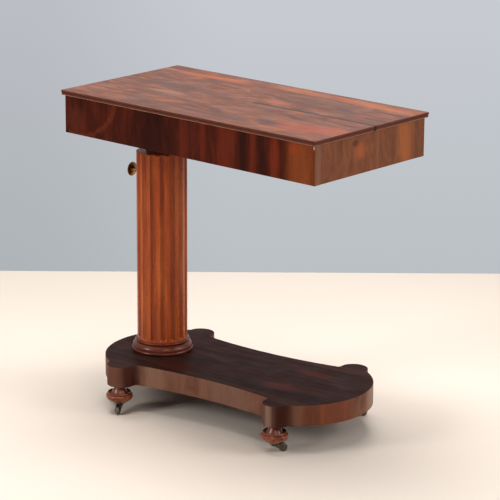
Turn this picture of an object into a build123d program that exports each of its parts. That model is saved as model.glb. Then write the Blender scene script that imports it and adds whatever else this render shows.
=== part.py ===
from build123d import *
import os
from math import cos, radians, sin, sqrt

os.makedirs("parts", exist_ok=True)

# A bed table. A box-framed top turns on a square post, the post rises in a fluted column and is
# held by a sprung catch, and the column stands at one end of a waisted platform on castered feet.
# The origin lies on the floor under the middle of the top, +X runs along the platform towards its
# free end and +Z is up. All lengths are in millimetres.

# Whole table
table_height = 773.0
top_length = 780.0
top_depth = 398.0
column_end_gap = 135.0
top_turn = -5.0
running_gap = 0.3
shaft_gap = 0.05
fit_gap = 0.1

# Top boards, whose edge is an upper lip, a quirk and a lower lip; they meet behind the middle
top_thickness = 12.0
lip_height = 5.0
quirk_height = 1.2
quirk_depth = 1.4
lower_lip_inset = 0.8
lip_round = 0.8
board_joint = 6.0

# Apron box
apron_overhang = 6.5
apron_height = 90.0
apron_thickness = 20.0
corner_block_side = 28.0
corner_block_height = 72.0

# Bearers under the top and their screws
bearer_width = 140.0
bearer_height = 45.0
end_bearer_width = 60.0
end_bearer_height = 28.0
end_bearer_gap = 150.0
top_screw_bite = 7.0
top_screw_radius = 2.2
top_screw_head_radius = 4.6
top_screw_edge_gap = 40.0

# Pivot between the top and the post
pivot_radius = 6.0
pivot_grip = 65.0
pivot_head_width = 20.0
pivot_head_height = 8.0
pivot_recess_radius = 19.0
pivot_recess_depth = 14.0
pivot_washer_radius = 16.0
pivot_washer_thickness = 2.5
bush_radius = 9.0
wear_plate_side = 110.0
wear_plate_thickness = 3.0
cap_plate_side = 96.0
cap_plate_thickness = 4.0
plate_screw_length = 24.0
plate_screw_radius = 2.0
plate_screw_head_radius = 4.2
cap_screw_place = 17.0
wear_screw_place = 43.0

# Post
post_side = 54.0
post_round = 2.0
lift_step = 32.0
lift_steps = 7
notch_radius = 5.6
notch_depth = 9.0
buffer_thickness = 4.0
buffer_side = 50.0

# Column
column_radius = 61.0
column_top_drop = 158.0
column_top_round = 3.0
column_tenon_radius = 50.0
bore_floor_height = 32.0
flute_count = 16
flute_radius = 9.0
flute_depth = 5.0
flute_turn = -4.0
flute_foot_gap = 0.3

# Turned moulding round the column's foot
moulding_height = 30.8
plinth_torus_height = 9.6
plinth_torus_radius = 74.5
quirk_rise = 0.6
quirk_radius = 69.0
cushion_height = 13.4
cushion_foot_radius = 72.5
cushion_top_radius = 62.5
cushion_curve_radius = 13.4
crease_height = 0.5
bead_height = 6.2
bead_radius = 66.0

# Bolt that ties the column to the platform
tie_radius = 6.0
tie_head_width = 20.0
tie_head_height = 7.0
tie_head_recess_radius = 13.0
tie_head_recess_depth = 9.0
tie_washer_radius = 19.0
tie_washer_thickness = 3.0
tie_nut_width = 20.0
tie_nut_height = 9.0
tie_nut_recess_radius = 21.0
tie_nut_recess_depth = 14.0

# Platform, with bowed ends, rounded ears over the feet and hollow long sides
platform_thickness = 50.0
platform_half_length = 354.0
platform_waist = 126.5
platform_bow_radius = 183.0
platform_side_radius = 1150.0
platform_column_gap = 126.0
platform_arris = 1.2
ear_radius = 34.0
ear_place_x = 230.5
ear_place_y = 155.0
ear_inner_round = 8.0
ear_outer_round = 7.0
foot_place_x = 230.0
foot_place_y = 163.0

# Turned feet, as heights above the floor and radii
foot_height = 69.0
foot_neck_radius = 13.0
foot_waist_radius = 12.0
foot_waist_height = 65.0
foot_bulb_radius = 15.5
foot_bulb_height = 57.0
foot_bell_radius = 20.5
foot_bell_height = 49.0
foot_rim_radius = 27.5
foot_rim_height = 51.5
foot_rim_edge_radius = 29.3
foot_rim_edge_height = 49.3
foot_groove_radius = 28.3
foot_groove_height = 47.0
foot_torus_radius = 32.3
foot_torus_height = 40.8
foot_taper_radius = 21.6
foot_taper_height = 28.6
foot_tip_radius = 10.4
foot_tip_top = 24.6
foot_tip_height = 23.0
foot_dowel_radius = 9.0
foot_dowel_length = 25.0

# Casters
caster_cup_wall = 1.4
caster_cup_top = 24.2
caster_pin_radius = 3.0
caster_pin_head_radius = 3.9
caster_pin_head_height = 1.3
horn_boss_radius = 7.5
horn_boss_height = 4.7
horn_cheek_thickness = 2.0
horn_eye_radius = 4.6
horn_back_reach = 4.0
horn_front_reach = 6.0
caster_trail = 21.0
wheel_radius = 10.4
wheel_width = 7.6
wheel_side_gap = 0.4
wheel_tread_round = 1.6
wheel_dish_radius = 6.8
wheel_dish_depth = 0.9
wheel_hub_radius = 4.0
axle_radius = 2.0
axle_head_radius = 3.0
axle_head_height = 1.0

# Height catch, with places counted outwards from the column's axis
catch_drop = 218.0
catch_nose_radius = 5.0
catch_nose_tip_chamfer = 1.0
catch_collar_start = 45.0
catch_collar_thickness = 2.0
catch_collar_radius = 7.0
catch_stem_radius = 3.0
catch_stem_end = 85.0
barrel_radius = 9.0
barrel_set_back = 0.5
barrel_step = 38.0
barrel_chamber_radius = 7.5
catch_plate_radius = 14.0
catch_plate_thickness = 2.5
catch_plate_seat = 54.8
catch_screw_circle = 11.3
catch_screw_count = 3
catch_screw_radius = 1.1
catch_screw_head_radius = 2.1
catch_screw_length = 11.0
spring_wire_radius = 0.45
spring_radius = 5.2
spring_turns = 4
knob_start = 67.0
knob_neck_radius = 5.5
knob_waist_radius = 4.5
knob_waist_place = 78.0
knob_hollow_share = 0.3
knob_back_place = 90.0
knob_back_radius = 15.5
knob_radius = 17.0
knob_rim_thickness = 3.2
knob_end = 100.0

# Heights worked out from the sizes above
top_underside = table_height - top_thickness
apron_bottom = top_underside - apron_height
bearer_bottom = top_underside - bearer_height
wear_plate_bottom = bearer_bottom - wear_plate_thickness
cap_plate_top = wear_plate_bottom - running_gap
post_top = cap_plate_top - cap_plate_thickness
pivot_recess_floor = top_underside - pivot_recess_depth
platform_top = foot_height + platform_thickness
moulding_top = platform_top + moulding_height
column_top = table_height - column_top_drop
bore_floor = platform_top + bore_floor_height
post_bottom = bore_floor + buffer_thickness
catch_height = table_height - catch_drop

# Places worked out from the sizes above
column_offset = top_length / 2 - column_end_gap
column_x = -column_offset * cos(radians(top_turn))
column_y = -column_offset * sin(radians(top_turn))
platform_x = column_x + platform_half_length - platform_column_gap
bore_side = post_side + 2 * running_gap
bore_face = bore_side / 2
apron_length = top_length - 2 * apron_overhang
apron_depth = top_depth - 2 * apron_overhang
apron_inner_depth = apron_depth - 2 * apron_thickness
apron_inner_length = apron_length - 2 * apron_thickness

# Frames: the top's own axes, the platform's middle and the column's axis
top_frame = Plane(
    origin=(0, 0, 0), x_dir=(cos(radians(top_turn)), sin(radians(top_turn)), 0), z_dir=(0, 0, 1)
)
top_along = Axis(origin=(0, 0, 0), direction=tuple(top_frame.x_dir))
top_across = Axis(origin=(0, 0, 0), direction=tuple(top_frame.y_dir))
platform_frame = Plane(origin=(platform_x, column_y, 0), x_dir=(1, 0, 0), z_dir=(0, 0, 1))
column_frame = Plane(origin=(column_x, column_y, 0), x_dir=(1, 0, 0), z_dir=(0, 0, 1))
catch_face = Plane(origin=(column_x, column_y, catch_height), x_dir=(0, 1, 0), z_dir=(-1, 0, 0))
catch_section = Plane(origin=(column_x, column_y, catch_height), x_dir=(-1, 0, 0), z_dir=(0, 1, 0))
catch_axis = Axis(origin=(column_x, column_y, catch_height), direction=(-1, 0, 0))


def screw_solid(radius, head_radius, length, gap=0.0):
    """A countersunk screw along Z with its head's flat at the origin, point down; gap widens it."""
    head_height = head_radius - radius
    with BuildPart() as screw:
        with BuildSketch(Plane.XZ):
            with BuildLine():
                Polyline(
                    (0, 0),
                    (head_radius + gap, 0),
                    (radius + gap, -head_height),
                    (radius + gap, radius - length),
                    (0, -length - gap),
                    close=True,
                )
            make_face()
        revolve(axis=Axis.Z)
    return screw.part


def facing(plane, x, y, down=False):
    """A place on a plane, with Z along its normal or against it."""
    turn = (180, 0, 0) if down else (0, 0, 0)
    return plane.location * Location((x, y, 0), turn)


def place_plate_screws(places, mode, gap=0.0):
    """Adds or cuts the short screws of the wear plate or the cap plate."""
    with Locations(*places):
        add(
            screw_solid(plate_screw_radius, plate_screw_head_radius, plate_screw_length, gap),
            mode=mode,
        )


def place_catch_screws(mode, gap=0.0):
    """Adds or cuts the three small screws of the catch's plate."""
    with Locations(catch_face.offset(catch_plate_seat + catch_plate_thickness)):
        with PolarLocations(catch_screw_circle, catch_screw_count, start_angle=90):
            screw = screw_solid(catch_screw_radius, catch_screw_head_radius, catch_screw_length, gap)
            add(screw, mode=mode)


# Top boards, front and rear, meeting along a joint just behind the middle of the top
edge_layers = (
    (top_underside, top_thickness - lip_height - quirk_height, lower_lip_inset),
    (table_height - lip_height - quirk_height, quirk_height, quirk_depth),
    (table_height - lip_height, lip_height, 0),
)
bearer_x = -column_offset
end_bearer_x = apron_inner_length / 2 - end_bearer_gap
screw_rows = (
    (bearer_x, bearer_width, bearer_height),
    (end_bearer_x, end_bearer_width, end_bearer_height),
)
top_screw_depth = apron_inner_depth / 2 - top_screw_edge_gap


def place_top_screws(mode, gap=0.0):
    """Adds or cuts the screws that go up through the two bearers into the top boards."""
    for middle, width, height in screw_rows:
        level = top_frame.offset(top_underside - height)
        spots = [
            (middle + x, y)
            for x in (-width / 4, width / 4)
            for y in (-top_screw_depth, top_screw_depth)
        ]
        with Locations(*[facing(level, x, y, down=True) for x, y in spots]):
            length = height + top_screw_bite
            add(screw_solid(top_screw_radius, top_screw_head_radius, length, gap), mode=mode)


for side, name in ((-1, "front"), (1, "rear")):
    with BuildPart() as top_board:
        for level, height, inset in edge_layers:
            with BuildSketch(top_frame.offset(level)):
                outer = side * (top_depth / 2 - inset)
                with Locations((0, (outer + board_joint) / 2)):
                    Rectangle(top_length - 2 * inset, abs(outer - board_joint))
            extrude(amount=height)
        for face in (top_board.faces().sort_by(Axis.Z)[-1], top_board.faces().sort_by(Axis.Z)[0]):
            rims = face.edges().sort_by(top_across)
            fillet(rims[:-1] if side < 0 else rims[1:], radius=lip_round)
        place_top_screws(Mode.SUBTRACT, fit_gap)
    top_board.part.label = f"top_board_{name}"
    export_step(top_board.part, f"parts/top_board_{name}.step")

# Apron rails: long rails run through, end rails stand between them
for side, name in ((-1, "front"), (1, "rear")):
    with BuildPart() as long_rail:
        with BuildSketch(top_frame.offset(apron_bottom)):
            with Locations((0, side * (apron_depth - apron_thickness) / 2)):
                Rectangle(apron_length, apron_thickness)
        extrude(amount=apron_height)
        outer = long_rail.faces().sort_by(top_across)[0 if side < 0 else -1]
        fillet(outer.edges().sort_by(Axis.Z)[:-1], radius=lip_round)
    long_rail.part.label = f"apron_{name}"
    export_step(long_rail.part, f"parts/apron_{name}.step")

for side, name in ((-1, "left"), (1, "right")):
    with BuildPart() as end_rail:
        with BuildSketch(top_frame.offset(apron_bottom)):
            with Locations((side * (apron_length - apron_thickness) / 2, 0)):
                Rectangle(apron_thickness, apron_inner_depth)
        extrude(amount=apron_height)
        outer = end_rail.faces().sort_by(top_along)[0 if side < 0 else -1]
        fillet(outer.edges().sort_by(Axis.Z)[0], radius=lip_round)
    end_rail.part.label = f"apron_{name}"
    export_step(end_rail.part, f"parts/apron_{name}.step")

# Three-cornered glue blocks in the corners of the box
for end, end_name in ((-1, "left"), (1, "right")):
    for side, side_name in ((-1, "front"), (1, "rear")):
        corner_x = end * apron_inner_length / 2
        corner_y = side * apron_inner_depth / 2
        with BuildPart() as corner_block:
            with BuildSketch(top_frame.offset(top_underside - corner_block_height)):
                with BuildLine():
                    Polyline(
                        (corner_x, corner_y),
                        (corner_x - end * corner_block_side, corner_y),
                        (corner_x, corner_y - side * corner_block_side),
                        close=True,
                    )
                make_face()
            extrude(amount=corner_block_height)
        corner_block.part.label = f"corner_block_{side_name}_{end_name}"
        export_step(corner_block.part, f"parts/corner_block_{side_name}_{end_name}.step")

# Pivot bearer, across the box over the column
wear_screw_spots = [
    (bearer_x + x, y)
    for x in (-wear_screw_place, wear_screw_place)
    for y in (-wear_screw_place, wear_screw_place)
]
wear_screw_places = [
    facing(top_frame.offset(wear_plate_bottom), x, y, down=True) for x, y in wear_screw_spots
]
with BuildPart() as pivot_bearer:
    with BuildSketch(top_frame.offset(bearer_bottom)):
        with Locations((bearer_x, 0)):
            Rectangle(bearer_width, apron_inner_depth)
    extrude(amount=bearer_height)
    with BuildSketch(top_frame.offset(bearer_bottom)):
        with Locations((bearer_x, 0)):
            Circle(bush_radius + fit_gap)
    extrude(amount=bearer_height, mode=Mode.SUBTRACT)
    with BuildSketch(top_frame.offset(pivot_recess_floor)):
        with Locations((bearer_x, 0)):
            Circle(pivot_recess_radius)
    extrude(amount=pivot_recess_depth, mode=Mode.SUBTRACT)
    place_plate_screws(wear_screw_places, Mode.SUBTRACT, fit_gap)
    place_top_screws(Mode.SUBTRACT, fit_gap)
pivot_bearer.part.label = "pivot_bearer"
export_step(pivot_bearer.part, "parts/pivot_bearer.step")

# Second bearer, which stiffens the free end of the box
with BuildPart() as end_bearer:
    with BuildSketch(top_frame.offset(top_underside - end_bearer_height)):
        with Locations((end_bearer_x, 0)):
            Rectangle(end_bearer_width, apron_inner_depth)
    extrude(amount=end_bearer_height)
    place_top_screws(Mode.SUBTRACT, fit_gap)
end_bearer.part.label = "end_bearer"
export_step(end_bearer.part, "parts/end_bearer.step")

with BuildPart() as top_screws:
    place_top_screws(Mode.ADD)
top_screws.part.label = "top_screws"
export_step(top_screws.part, "parts/top_screws.step")

# Wear plate and bush, which turn with the top
with BuildPart() as wear_plate:
    with BuildSketch(top_frame.offset(wear_plate_bottom)):
        with Locations((bearer_x, 0)):
            Rectangle(wear_plate_side, wear_plate_side)
            Circle(bush_radius + fit_gap, mode=Mode.SUBTRACT)
    extrude(amount=wear_plate_thickness)
    place_plate_screws(wear_screw_places, Mode.SUBTRACT, fit_gap)
wear_plate.part.label = "wear_plate"
export_step(wear_plate.part, "parts/wear_plate.step")

with BuildPart() as wear_plate_screws:
    place_plate_screws(wear_screw_places, Mode.ADD)
wear_plate_screws.part.label = "wear_plate_screws"
export_step(wear_plate_screws.part, "parts/wear_plate_screws.step")

with BuildPart() as pivot_bush:
    with BuildSketch(column_frame.offset(wear_plate_bottom)):
        Circle(bush_radius)
        Circle(pivot_radius + shaft_gap, mode=Mode.SUBTRACT)
    extrude(amount=pivot_recess_floor - wear_plate_bottom)
pivot_bush.part.label = "pivot_bush"
export_step(pivot_bush.part, "parts/pivot_bush.step")

# Post, square, with a row of catch notches up its outer face
cap_screw_spots = [
    (x, y) for x in (-cap_screw_place, cap_screw_place) for y in (-cap_screw_place, cap_screw_place)
]
cap_screw_places = [facing(column_frame.offset(cap_plate_top), x, y) for x, y in cap_screw_spots]
with BuildPart() as post:
    with BuildSketch(column_frame.offset(post_bottom)):
        RectangleRounded(post_side, post_side, post_round)
    extrude(amount=post_top - post_bottom)
    with BuildSketch(column_frame.offset(post_top - pivot_grip)):
        Circle(pivot_radius + fit_gap)
    extrude(amount=pivot_grip, mode=Mode.SUBTRACT)
    for step in range(1, lift_steps + 1):
        with BuildSketch(catch_face.offset(post_side / 2 - notch_depth)):
            with Locations((0, step * lift_step)):
                Circle(notch_radius)
        extrude(amount=notch_depth, mode=Mode.SUBTRACT)
    place_plate_screws(cap_screw_places, Mode.SUBTRACT, fit_gap)
post.part.label = "post"
export_step(post.part, "parts/post.step")

with BuildPart() as post_cap_plate:
    with BuildSketch(column_frame.offset(post_top)):
        Rectangle(cap_plate_side, cap_plate_side)
        Circle(pivot_radius + fit_gap, mode=Mode.SUBTRACT)
    extrude(amount=cap_plate_thickness)
    place_plate_screws(cap_screw_places, Mode.SUBTRACT, fit_gap)
post_cap_plate.part.label = "post_cap_plate"
export_step(post_cap_plate.part, "parts/post_cap_plate.step")

with BuildPart() as cap_plate_screws:
    place_plate_screws(cap_screw_places, Mode.ADD)
cap_plate_screws.part.label = "cap_plate_screws"
export_step(cap_plate_screws.part, "parts/cap_plate_screws.step")

pivot_washer_bottom = pivot_recess_floor + running_gap
pivot_head_bottom = pivot_washer_bottom + pivot_washer_thickness
with BuildPart() as pivot_washer:
    with BuildSketch(column_frame.offset(pivot_washer_bottom)):
        Circle(pivot_washer_radius)
        Circle(pivot_radius + fit_gap, mode=Mode.SUBTRACT)
    extrude(amount=pivot_washer_thickness)
pivot_washer.part.label = "pivot_washer"
export_step(pivot_washer.part, "parts/pivot_washer.step")

with BuildPart() as pivot_bolt:
    with BuildSketch(column_frame.offset(post_top - pivot_grip)):
        Circle(pivot_radius)
    extrude(amount=pivot_head_bottom - post_top + pivot_grip)
    with BuildSketch(column_frame.offset(pivot_head_bottom)):
        RegularPolygon(pivot_head_width / 2, 6, major_radius=False)
    extrude(amount=pivot_head_height)
pivot_bolt.part.label = "pivot_bolt"
export_step(pivot_bolt.part, "parts/pivot_bolt.step")

# Column, fluted outside, with a square bore for the post
flute_centre = column_radius + flute_radius - flute_depth
flute_foot = moulding_top + flute_foot_gap + flute_radius
with BuildPart() as column:
    with BuildSketch(column_frame.offset(moulding_top)):
        Circle(column_radius)
    extrude(amount=column_top - moulding_top)
    fillet(column.faces().sort_by(Axis.Z)[-1].edges(), radius=column_top_round)
    with BuildSketch(column_frame.offset(platform_top)):
        Circle(column_tenon_radius)
    extrude(amount=moulding_height)
    with BuildSketch(column_frame.offset(bore_floor)):
        Rectangle(bore_side, bore_side)
    extrude(amount=column_top - bore_floor, mode=Mode.SUBTRACT)
    with BuildSketch(column_frame.offset(flute_foot)):
        with PolarLocations(flute_centre, flute_count, start_angle=flute_turn):
            Circle(flute_radius)
    extrude(amount=column_top - flute_foot, mode=Mode.SUBTRACT)
    with Locations(column_frame.offset(flute_foot)):
        with PolarLocations(flute_centre, flute_count, start_angle=flute_turn):
            Sphere(flute_radius, mode=Mode.SUBTRACT)
    # Seat of the tie bolt's head in the bore's floor, and the bolt's hole
    with BuildSketch(column_frame.offset(bore_floor - tie_head_recess_depth)):
        Circle(tie_head_recess_radius)
    extrude(amount=tie_head_recess_depth, mode=Mode.SUBTRACT)
    with BuildSketch(column_frame.offset(platform_top)):
        Circle(tie_radius + fit_gap)
    extrude(amount=bore_floor_height, mode=Mode.SUBTRACT)
    # Hole of the catch's barrel and the flat seat of its plate
    with BuildSketch(catch_face.offset(post_side / 2)):
        Circle(barrel_radius + fit_gap)
    extrude(amount=column_radius - post_side / 2, mode=Mode.SUBTRACT)
    with BuildSketch(catch_face.offset(catch_plate_seat)):
        Circle(catch_plate_radius + fit_gap)
    extrude(amount=column_radius - catch_plate_seat, mode=Mode.SUBTRACT)
    place_catch_screws(Mode.SUBTRACT, fit_gap)
column.part.label = "column"
export_step(column.part, "parts/column.step")

# Leather buffer on the bore's floor, which the post stands on
with BuildPart() as post_buffer:
    with BuildSketch(column_frame.offset(bore_floor)):
        Rectangle(buffer_side, buffer_side)
    extrude(amount=buffer_thickness)
post_buffer.part.label = "post_buffer"
export_step(post_buffer.part, "parts/post_buffer.step")

# Turned moulding, drawn upwards from the platform
plinth_top = plinth_torus_height
cushion_foot = plinth_top + quirk_rise
cushion_top = cushion_foot + cushion_height
bead_foot = cushion_top + crease_height
bead_top = bead_foot + bead_height
plinth_straight = plinth_torus_radius - plinth_torus_height / 2
bead_straight = bead_radius - bead_height / 2
moulding_section = Plane(
    origin=(column_x, column_y, platform_top), x_dir=(1, 0, 0), z_dir=(0, -1, 0)
)
moulding_bore = column_tenon_radius + fit_gap
with BuildPart() as column_moulding:
    with BuildSketch(moulding_section):
        with BuildLine():
            Line((moulding_bore, 0), (plinth_straight, 0))
            ThreePointArc(
                (plinth_straight, 0),
                (plinth_torus_radius, plinth_torus_height / 2),
                (plinth_straight, plinth_top),
            )
            Line((plinth_straight, plinth_top), (quirk_radius, plinth_top))
            Line((quirk_radius, plinth_top), (quirk_radius, cushion_foot))
            Line((quirk_radius, cushion_foot), (cushion_foot_radius, cushion_foot))
            RadiusArc(
                (cushion_foot_radius, cushion_foot),
                (cushion_top_radius, cushion_top),
                -cushion_curve_radius,
            )
            Line((cushion_top_radius, cushion_top), (cushion_top_radius, bead_foot))
            Line((cushion_top_radius, bead_foot), (bead_straight, bead_foot))
            ThreePointArc(
                (bead_straight, bead_foot),
                (bead_radius, (bead_foot + bead_top) / 2),
                (bead_straight, bead_top),
            )
            Line((bead_straight, bead_top), (column_radius, moulding_height))
            Line((column_radius, moulding_height), (moulding_bore, moulding_height))
            Line((moulding_bore, moulding_height), (moulding_bore, 0))
        make_face()
    revolve(axis=Axis(origin=(column_x, column_y, 0), direction=(0, 0, 1)))
column_moulding.part.label = "column_moulding"
export_step(column_moulding.part, "parts/column_moulding.step")

# Tie bolt, washer and nut
tie_head_bottom = bore_floor - tie_head_recess_depth
tie_washer_bottom = foot_height + tie_nut_recess_depth - tie_washer_thickness
tie_nut_bottom = tie_washer_bottom - tie_nut_height
with BuildPart() as tie_bolt:
    with BuildSketch(column_frame.offset(tie_nut_bottom)):
        Circle(tie_radius)
    extrude(amount=tie_head_bottom - tie_nut_bottom)
    with BuildSketch(column_frame.offset(tie_head_bottom)):
        RegularPolygon(tie_head_width / 2, 6, major_radius=False)
    extrude(amount=tie_head_height)
tie_bolt.part.label = "tie_bolt"
export_step(tie_bolt.part, "parts/tie_bolt.step")

with BuildPart() as tie_washer:
    with BuildSketch(column_frame.offset(tie_washer_bottom)):
        Circle(tie_washer_radius)
        Circle(tie_radius + fit_gap, mode=Mode.SUBTRACT)
    extrude(amount=tie_washer_thickness)
tie_washer.part.label = "tie_washer"
export_step(tie_washer.part, "parts/tie_washer.step")

with BuildPart() as tie_nut:
    with BuildSketch(column_frame.offset(tie_nut_bottom)):
        RegularPolygon(tie_nut_width / 2, 6, major_radius=False)
        Circle(tie_radius + fit_gap, mode=Mode.SUBTRACT)
    extrude(amount=tie_nut_height)
tie_nut.part.label = "tie_nut"
export_step(tie_nut.part, "parts/tie_nut.step")

# Platform: one quarter of its outline, mirrored twice, then the ears over the feet
bow_centre = platform_half_length - platform_bow_radius
bow_at_ear = sqrt(platform_bow_radius**2 - (ear_place_x - bow_centre) ** 2)
side_rise = platform_side_radius - sqrt(platform_side_radius**2 - ear_place_x**2)
side_at_ear = platform_waist + side_rise
ear_spots = [(x, y) for x in (-ear_place_x, ear_place_x) for y in (-ear_place_y, ear_place_y)]
foot_spots = [(x, y) for x in (-foot_place_x, foot_place_x) for y in (-foot_place_y, foot_place_y)]
column_on_platform = column_x - platform_x
with BuildPart() as platform:
    with BuildSketch(platform_frame.offset(foot_height)) as outline:
        with BuildLine():
            Line((0, 0), (0, platform_waist))
            RadiusArc((0, platform_waist), (ear_place_x, side_at_ear), -platform_side_radius)
            Line((ear_place_x, side_at_ear), (ear_place_x, bow_at_ear))
            RadiusArc((ear_place_x, bow_at_ear), (platform_half_length, 0), platform_bow_radius)
            Line((platform_half_length, 0), (0, 0))
        make_face()
        mirror(about=Plane.XZ)
        mirror(about=Plane.YZ)
        with Locations(*ear_spots):
            Circle(ear_radius)
        hollows = outline.vertices().filter_by(lambda v: abs(v.X) < ear_place_x)
        fillet(hollows, radius=ear_inner_round)
        notches = outline.vertices().filter_by(
            lambda v: ear_place_x < abs(v.X) < ear_place_x + ear_radius and v.Y != 0
        )
        fillet(notches, radius=ear_outer_round)
    extrude(amount=platform_thickness)
    fillet(platform.faces().sort_by(Axis.Z)[-1].edges(), radius=platform_arris)
    with BuildSketch(platform_frame.offset(foot_height)):
        with Locations(*foot_spots):
            Circle(foot_dowel_radius + fit_gap)
    extrude(amount=foot_dowel_length + fit_gap, mode=Mode.SUBTRACT)
    with BuildSketch(platform_frame.offset(foot_height)):
        with Locations((column_on_platform, 0)):
            Circle(tie_radius + fit_gap)
    extrude(amount=platform_thickness, mode=Mode.SUBTRACT)
    with BuildSketch(platform_frame.offset(foot_height)):
        with Locations((column_on_platform, 0)):
            Circle(tie_nut_recess_radius)
    extrude(amount=tie_nut_recess_depth, mode=Mode.SUBTRACT)
platform.part.label = "platform"
export_step(platform.part, "parts/platform.step")

# Feet and casters, one set at each ear
cup_floor = foot_tip_height - caster_cup_wall
boss_top = cup_floor - running_gap
boss_bottom = boss_top - horn_boss_height
pin_head_top = boss_bottom - running_gap
pin_head_bottom = pin_head_top - caster_pin_head_height
cup_radius = foot_tip_radius + fit_gap + caster_cup_wall
cheek_inner = wheel_width / 2 + wheel_side_gap
cheek_outer = cheek_inner + horn_cheek_thickness
casters = (
    ("front_left", -1, -1, 298.0),
    ("front_right", 1, -1, 57.0),
    ("rear_right", 1, 1, 15.0),
    ("rear_left", -1, 1, 160.0),
)
for name, end, side, heading in casters:
    foot_x = platform_x + end * foot_place_x
    foot_y = column_y + side * foot_place_y
    upright = Axis(origin=(foot_x, foot_y, 0), direction=(0, 0, 1))
    foot_section = Plane(origin=(foot_x, foot_y, 0), x_dir=(1, 0, 0), z_dir=(0, -1, 0))
    heading_x = cos(radians(heading))
    heading_y = sin(radians(heading))
    trail_frame = Plane(origin=(foot_x, foot_y, 0), x_dir=(heading_x, heading_y, 0), z_dir=(0, 0, 1))
    wheel_centre = (
        foot_x + caster_trail * heading_x,
        foot_y + caster_trail * heading_y,
        wheel_radius,
    )
    wheel_face = Plane(
        origin=wheel_centre, x_dir=(heading_x, heading_y, 0), z_dir=(heading_y, -heading_x, 0)
    )
    wheel_section = Plane(
        origin=wheel_centre, x_dir=(heading_y, -heading_x, 0), z_dir=(heading_x, heading_y, 0)
    )
    wheel_axis = Axis(origin=wheel_centre, direction=(heading_y, -heading_x, 0))

    with BuildPart() as foot:
        with BuildSketch(foot_section):
            with BuildLine():
                Line((0, foot_tip_height), (foot_tip_radius, foot_tip_height))
                Line((foot_tip_radius, foot_tip_height), (foot_tip_radius, foot_tip_top))
                Spline(
                    (foot_tip_radius, foot_tip_top),
                    (foot_taper_radius, foot_taper_height),
                    (foot_torus_radius, foot_torus_height),
                    (foot_groove_radius, foot_groove_height),
                    tangents=((1, 0), (-1, 0)),
                )
                Line(
                    (foot_groove_radius, foot_groove_height),
                    (foot_rim_edge_radius, foot_rim_edge_height),
                )
                Line((foot_rim_edge_radius, foot_rim_edge_height), (foot_rim_radius, foot_rim_height))
                Line((foot_rim_radius, foot_rim_height), (foot_bell_radius, foot_bell_height))
                Spline(
                    (foot_bell_radius, foot_bell_height),
                    (foot_bulb_radius, foot_bulb_height),
                    (foot_waist_radius, foot_waist_height),
                    (foot_neck_radius, foot_height),
                    tangents=((-1, 1), (1, 1)),
                )
                Line((foot_neck_radius, foot_height), (foot_dowel_radius, foot_height))
                Line(
                    (foot_dowel_radius, foot_height),
                    (foot_dowel_radius, foot_height + foot_dowel_length),
                )
                Line(
                    (foot_dowel_radius, foot_height + foot_dowel_length),
                    (0, foot_height + foot_dowel_length),
                )
                Line((0, foot_height + foot_dowel_length), (0, foot_tip_height))
            make_face()
        revolve(axis=upright)
    foot.part.label = f"foot_{name}"
    export_step(foot.part, f"parts/foot_{name}.step")

    # Brass cup on the foot's tip, with the pin that the horn turns on
    with BuildPart() as caster_cup:
        with BuildSketch(foot_section):
            with BuildLine():
                Polyline(
                    (0, pin_head_bottom),
                    (caster_pin_head_radius, pin_head_bottom),
                    (caster_pin_head_radius, pin_head_top),
                    (caster_pin_radius, pin_head_top),
                    (caster_pin_radius, cup_floor),
                    (cup_radius, cup_floor),
                    (cup_radius, caster_cup_top),
                    (foot_tip_radius + fit_gap, caster_cup_top),
                    (foot_tip_radius + fit_gap, foot_tip_height),
                    (0, foot_tip_height),
                    close=True,
                )
            make_face()
        revolve(axis=upright)
    caster_cup.part.label = f"caster_cup_{name}"
    export_step(caster_cup.part, f"parts/caster_cup_{name}.step")

    # Forked horn: a boss on the pin and two cheeks that reach back to the axle
    with BuildPart() as caster_horn:
        with BuildSketch(trail_frame.offset(boss_bottom)):
            Circle(horn_boss_radius)
        extrude(amount=horn_boss_height)
        for place in (-cheek_outer, cheek_inner):
            with BuildSketch(wheel_face.offset(place)):
                with BuildLine():
                    CenterArc((0, 0), horn_eye_radius, 0, 360)
                    Polyline(
                        (-caster_trail - horn_back_reach, boss_bottom - wheel_radius),
                        (-caster_trail + horn_front_reach, boss_bottom - wheel_radius),
                        (-caster_trail + horn_front_reach, boss_top - wheel_radius),
                        (-caster_trail - horn_back_reach, boss_top - wheel_radius),
                        close=True,
                    )
                make_hull()
            extrude(amount=horn_cheek_thickness)
        with BuildSketch(trail_frame.offset(pin_head_bottom)):
            Circle(caster_pin_radius + shaft_gap)
        extrude(amount=boss_top - pin_head_bottom, mode=Mode.SUBTRACT)
        with BuildSketch(wheel_face.offset(-cheek_outer)):
            Circle(axle_radius + shaft_gap)
        extrude(amount=2 * cheek_outer, mode=Mode.SUBTRACT)
    caster_horn.part.label = f"caster_horn_{name}"
    export_step(caster_horn.part, f"parts/caster_horn_{name}.step")

    with BuildPart() as caster_axle:
        with BuildSketch(wheel_face.offset(-cheek_outer)):
            Circle(axle_radius)
        extrude(amount=2 * cheek_outer)
        for place in (-cheek_outer - axle_head_height, cheek_outer):
            with BuildSketch(wheel_face.offset(place)):
                Circle(axle_head_radius)
            extrude(amount=axle_head_height)
    caster_axle.part.label = f"caster_axle_{name}"
    export_step(caster_axle.part, f"parts/caster_axle_{name}.step")

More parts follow.
